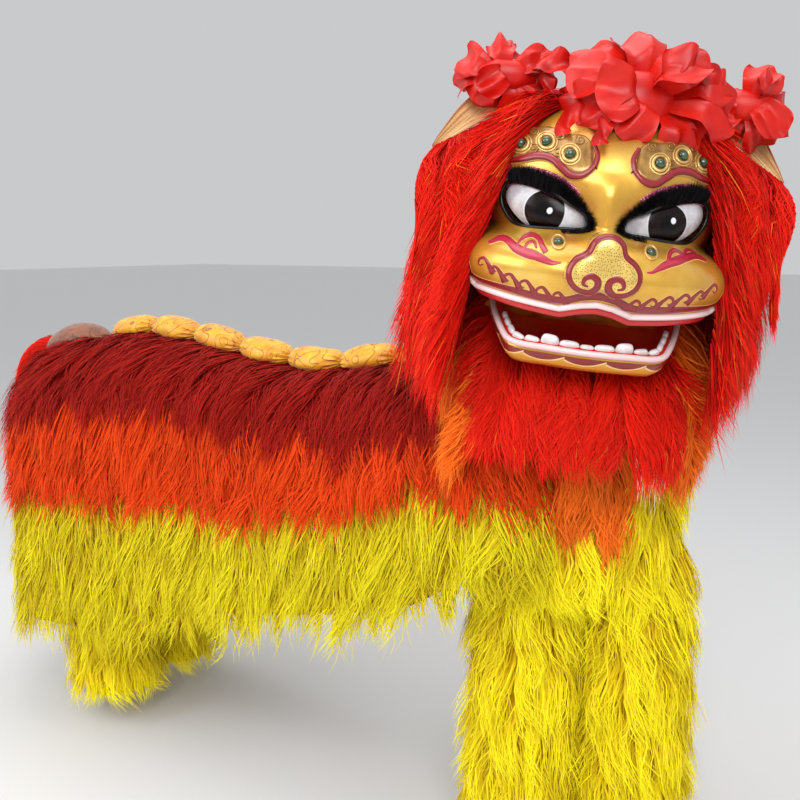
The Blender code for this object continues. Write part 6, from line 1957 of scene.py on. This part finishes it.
class COSTUME_OT_stage(bpy.types.Operator):
    """Set the pale floor, the soft lights and the camera"""

    bl_idname = "costume.stage"
    bl_label = "Stage"

    def execute(self, context):
        reach = np.array([-40.0, 40.0])
        grid = np.stack(np.broadcast_arrays(reach[None, :], reach[:, None], GROUND), axis=-1)
        paint = Paint("pale_studio", base_color=(0.8, 0.8, 0.8, 1), roughness=0.75)
        floor = bpy.data.objects.new("floor", make_mesh("floor", [patch(grid)], [paint.material]))
        context.scene.collection.objects.link(floor)
        world = bpy.data.worlds.new("soft_light")
        world.use_nodes = True
        world.node_tree.nodes["Background"].inputs["Color"].default_value = (0.97, 0.98, 1.0, 1)
        world.node_tree.nodes["Background"].inputs["Strength"].default_value = 0.6
        context.scene.world = world
        self.area("key", (1.6, -3.2, 2.2), 2.4, 108)
        self.area("fill", (-2.8, -2.6, 1.6), 2.6, 70)
        self.area("top", (-0.6, 0.2, 2.6), 2.6, 45)
        camera = bpy.data.cameras.new("photo_view")
        camera.lens, camera.sensor_width = 40.5, 36.0
        holder = bpy.data.objects.new("photo_view", camera)
        context.scene.collection.objects.link(holder)
        holder.location = (0.633, -1.714, 0.019)
        holder.rotation_euler = (math.radians(90 - 10), 0, math.radians(32))
        context.scene.camera = holder
        context.scene.view_settings.view_transform = "Standard"
        return {"FINISHED"}

    @staticmethod
    def area(name, place, size, power):
        """A square soft light that faces the costume's middle."""
        light = bpy.data.lights.new(name, "AREA")
        light.size, light.energy = size, power
        holder = bpy.data.objects.new(name, light)
        bpy.context.scene.collection.objects.link(holder)
        holder.location = place
        target = np.array([-0.4, 0.0, -0.3]) - np.array(place)
        yaw = math.atan2(target[1], target[0]) - math.pi / 2
        pitch = math.atan2(target[2], math.hypot(target[0], target[1])) + math.pi / 2
        holder.rotation_euler = (pitch, 0, yaw)


class CostumeDyes(bpy.types.PropertyGroup):
    """The costume's dyes"""

    red: FloatVectorProperty(name="Red", description="The dye of the mane and the back",
        default=(0.72, 0.011, 0.004), subtype="COLOR", min=0, max=1)
    orange: FloatVectorProperty(name="Orange", description="The dye of the flanks' middle band",
        default=(0.98, 0.18, 0.012), subtype="COLOR", min=0, max=1)
    yellow: FloatVectorProperty(name="Yellow", description="The dye of the hem, jacket and trousers",
        default=(1.0, 0.78, 0.012), subtype="COLOR", min=0, max=1)
    white: FloatVectorProperty(name="White", description="The few undyed strands on the chest",
        default=(0.8, 0.74, 0.62), subtype="COLOR", min=0, max=1)


class CostumeSizes(bpy.types.PropertyGroup):
    """The costume's sizes"""

    hair_length: FloatProperty(name="Hair Length", description="Length of the skin's hair", default=0.17,
        unit="LENGTH", min=0.05, max=0.3)
    hair_width: FloatProperty(name="Hair Width", description="Width of a drawn strand of hair", default=0.0031,
        unit="LENGTH", min=0.001, max=0.01)
    hair_count: FloatProperty(name="Hair Count", description="Share of the full number of strands",
        default=1.0, min=0.05, max=1.0)


class COSTUME_PT_panel(bpy.types.Panel):
    """The costume's sizes, colours and pieces"""

    bl_idname = "COSTUME_PT_panel"
    bl_label = "Lion Dance Costume"
    bl_space_type = "VIEW_3D"
    bl_region_type = "UI"
    bl_category = "Costume"

    def draw(self, context):
        for group in (context.scene.costume_sizes, context.scene.costume_dyes):
            for name in group.bl_rna.properties.keys():
                if name not in ("rna_type", "name"):
                    self.layout.prop(group, name)
        for operator in OPERATORS:
            self.layout.operator(operator.bl_idname)


GROUPS = (CostumeDyes, CostumeSizes)
OPERATORS = (
    COSTUME_OT_cloths,
    COSTUME_OT_dressing,
    COSTUME_OT_eyes,
    COSTUME_OT_face,
    COSTUME_OT_garments,
    COSTUME_OT_mane,
    COSTUME_OT_mouth,
    COSTUME_OT_ornaments,
    COSTUME_OT_skin_fur,
    COSTUME_OT_spine,
    COSTUME_OT_stage,
)


def register():
    for found in (*GROUPS, *OPERATORS, COSTUME_PT_panel):
        bpy.utils.register_class(found)
    bpy.types.Scene.costume_dyes = PointerProperty(type=CostumeDyes)
    bpy.types.Scene.costume_sizes = PointerProperty(type=CostumeSizes)


def unregister():
    del bpy.types.Scene.costume_dyes, bpy.types.Scene.costume_sizes
    for found in (COSTUME_PT_panel, *OPERATORS[::-1], *GROUPS[::-1]):
        bpy.utils.unregister_class(found)


def main():
    """Register the pieces and build them one after another."""
    register()
    for operator in OPERATORS:
        group, name = operator.bl_idname.split(".")
        getattr(getattr(bpy.ops, group), name)()


if __name__ == "__main__":
    main()
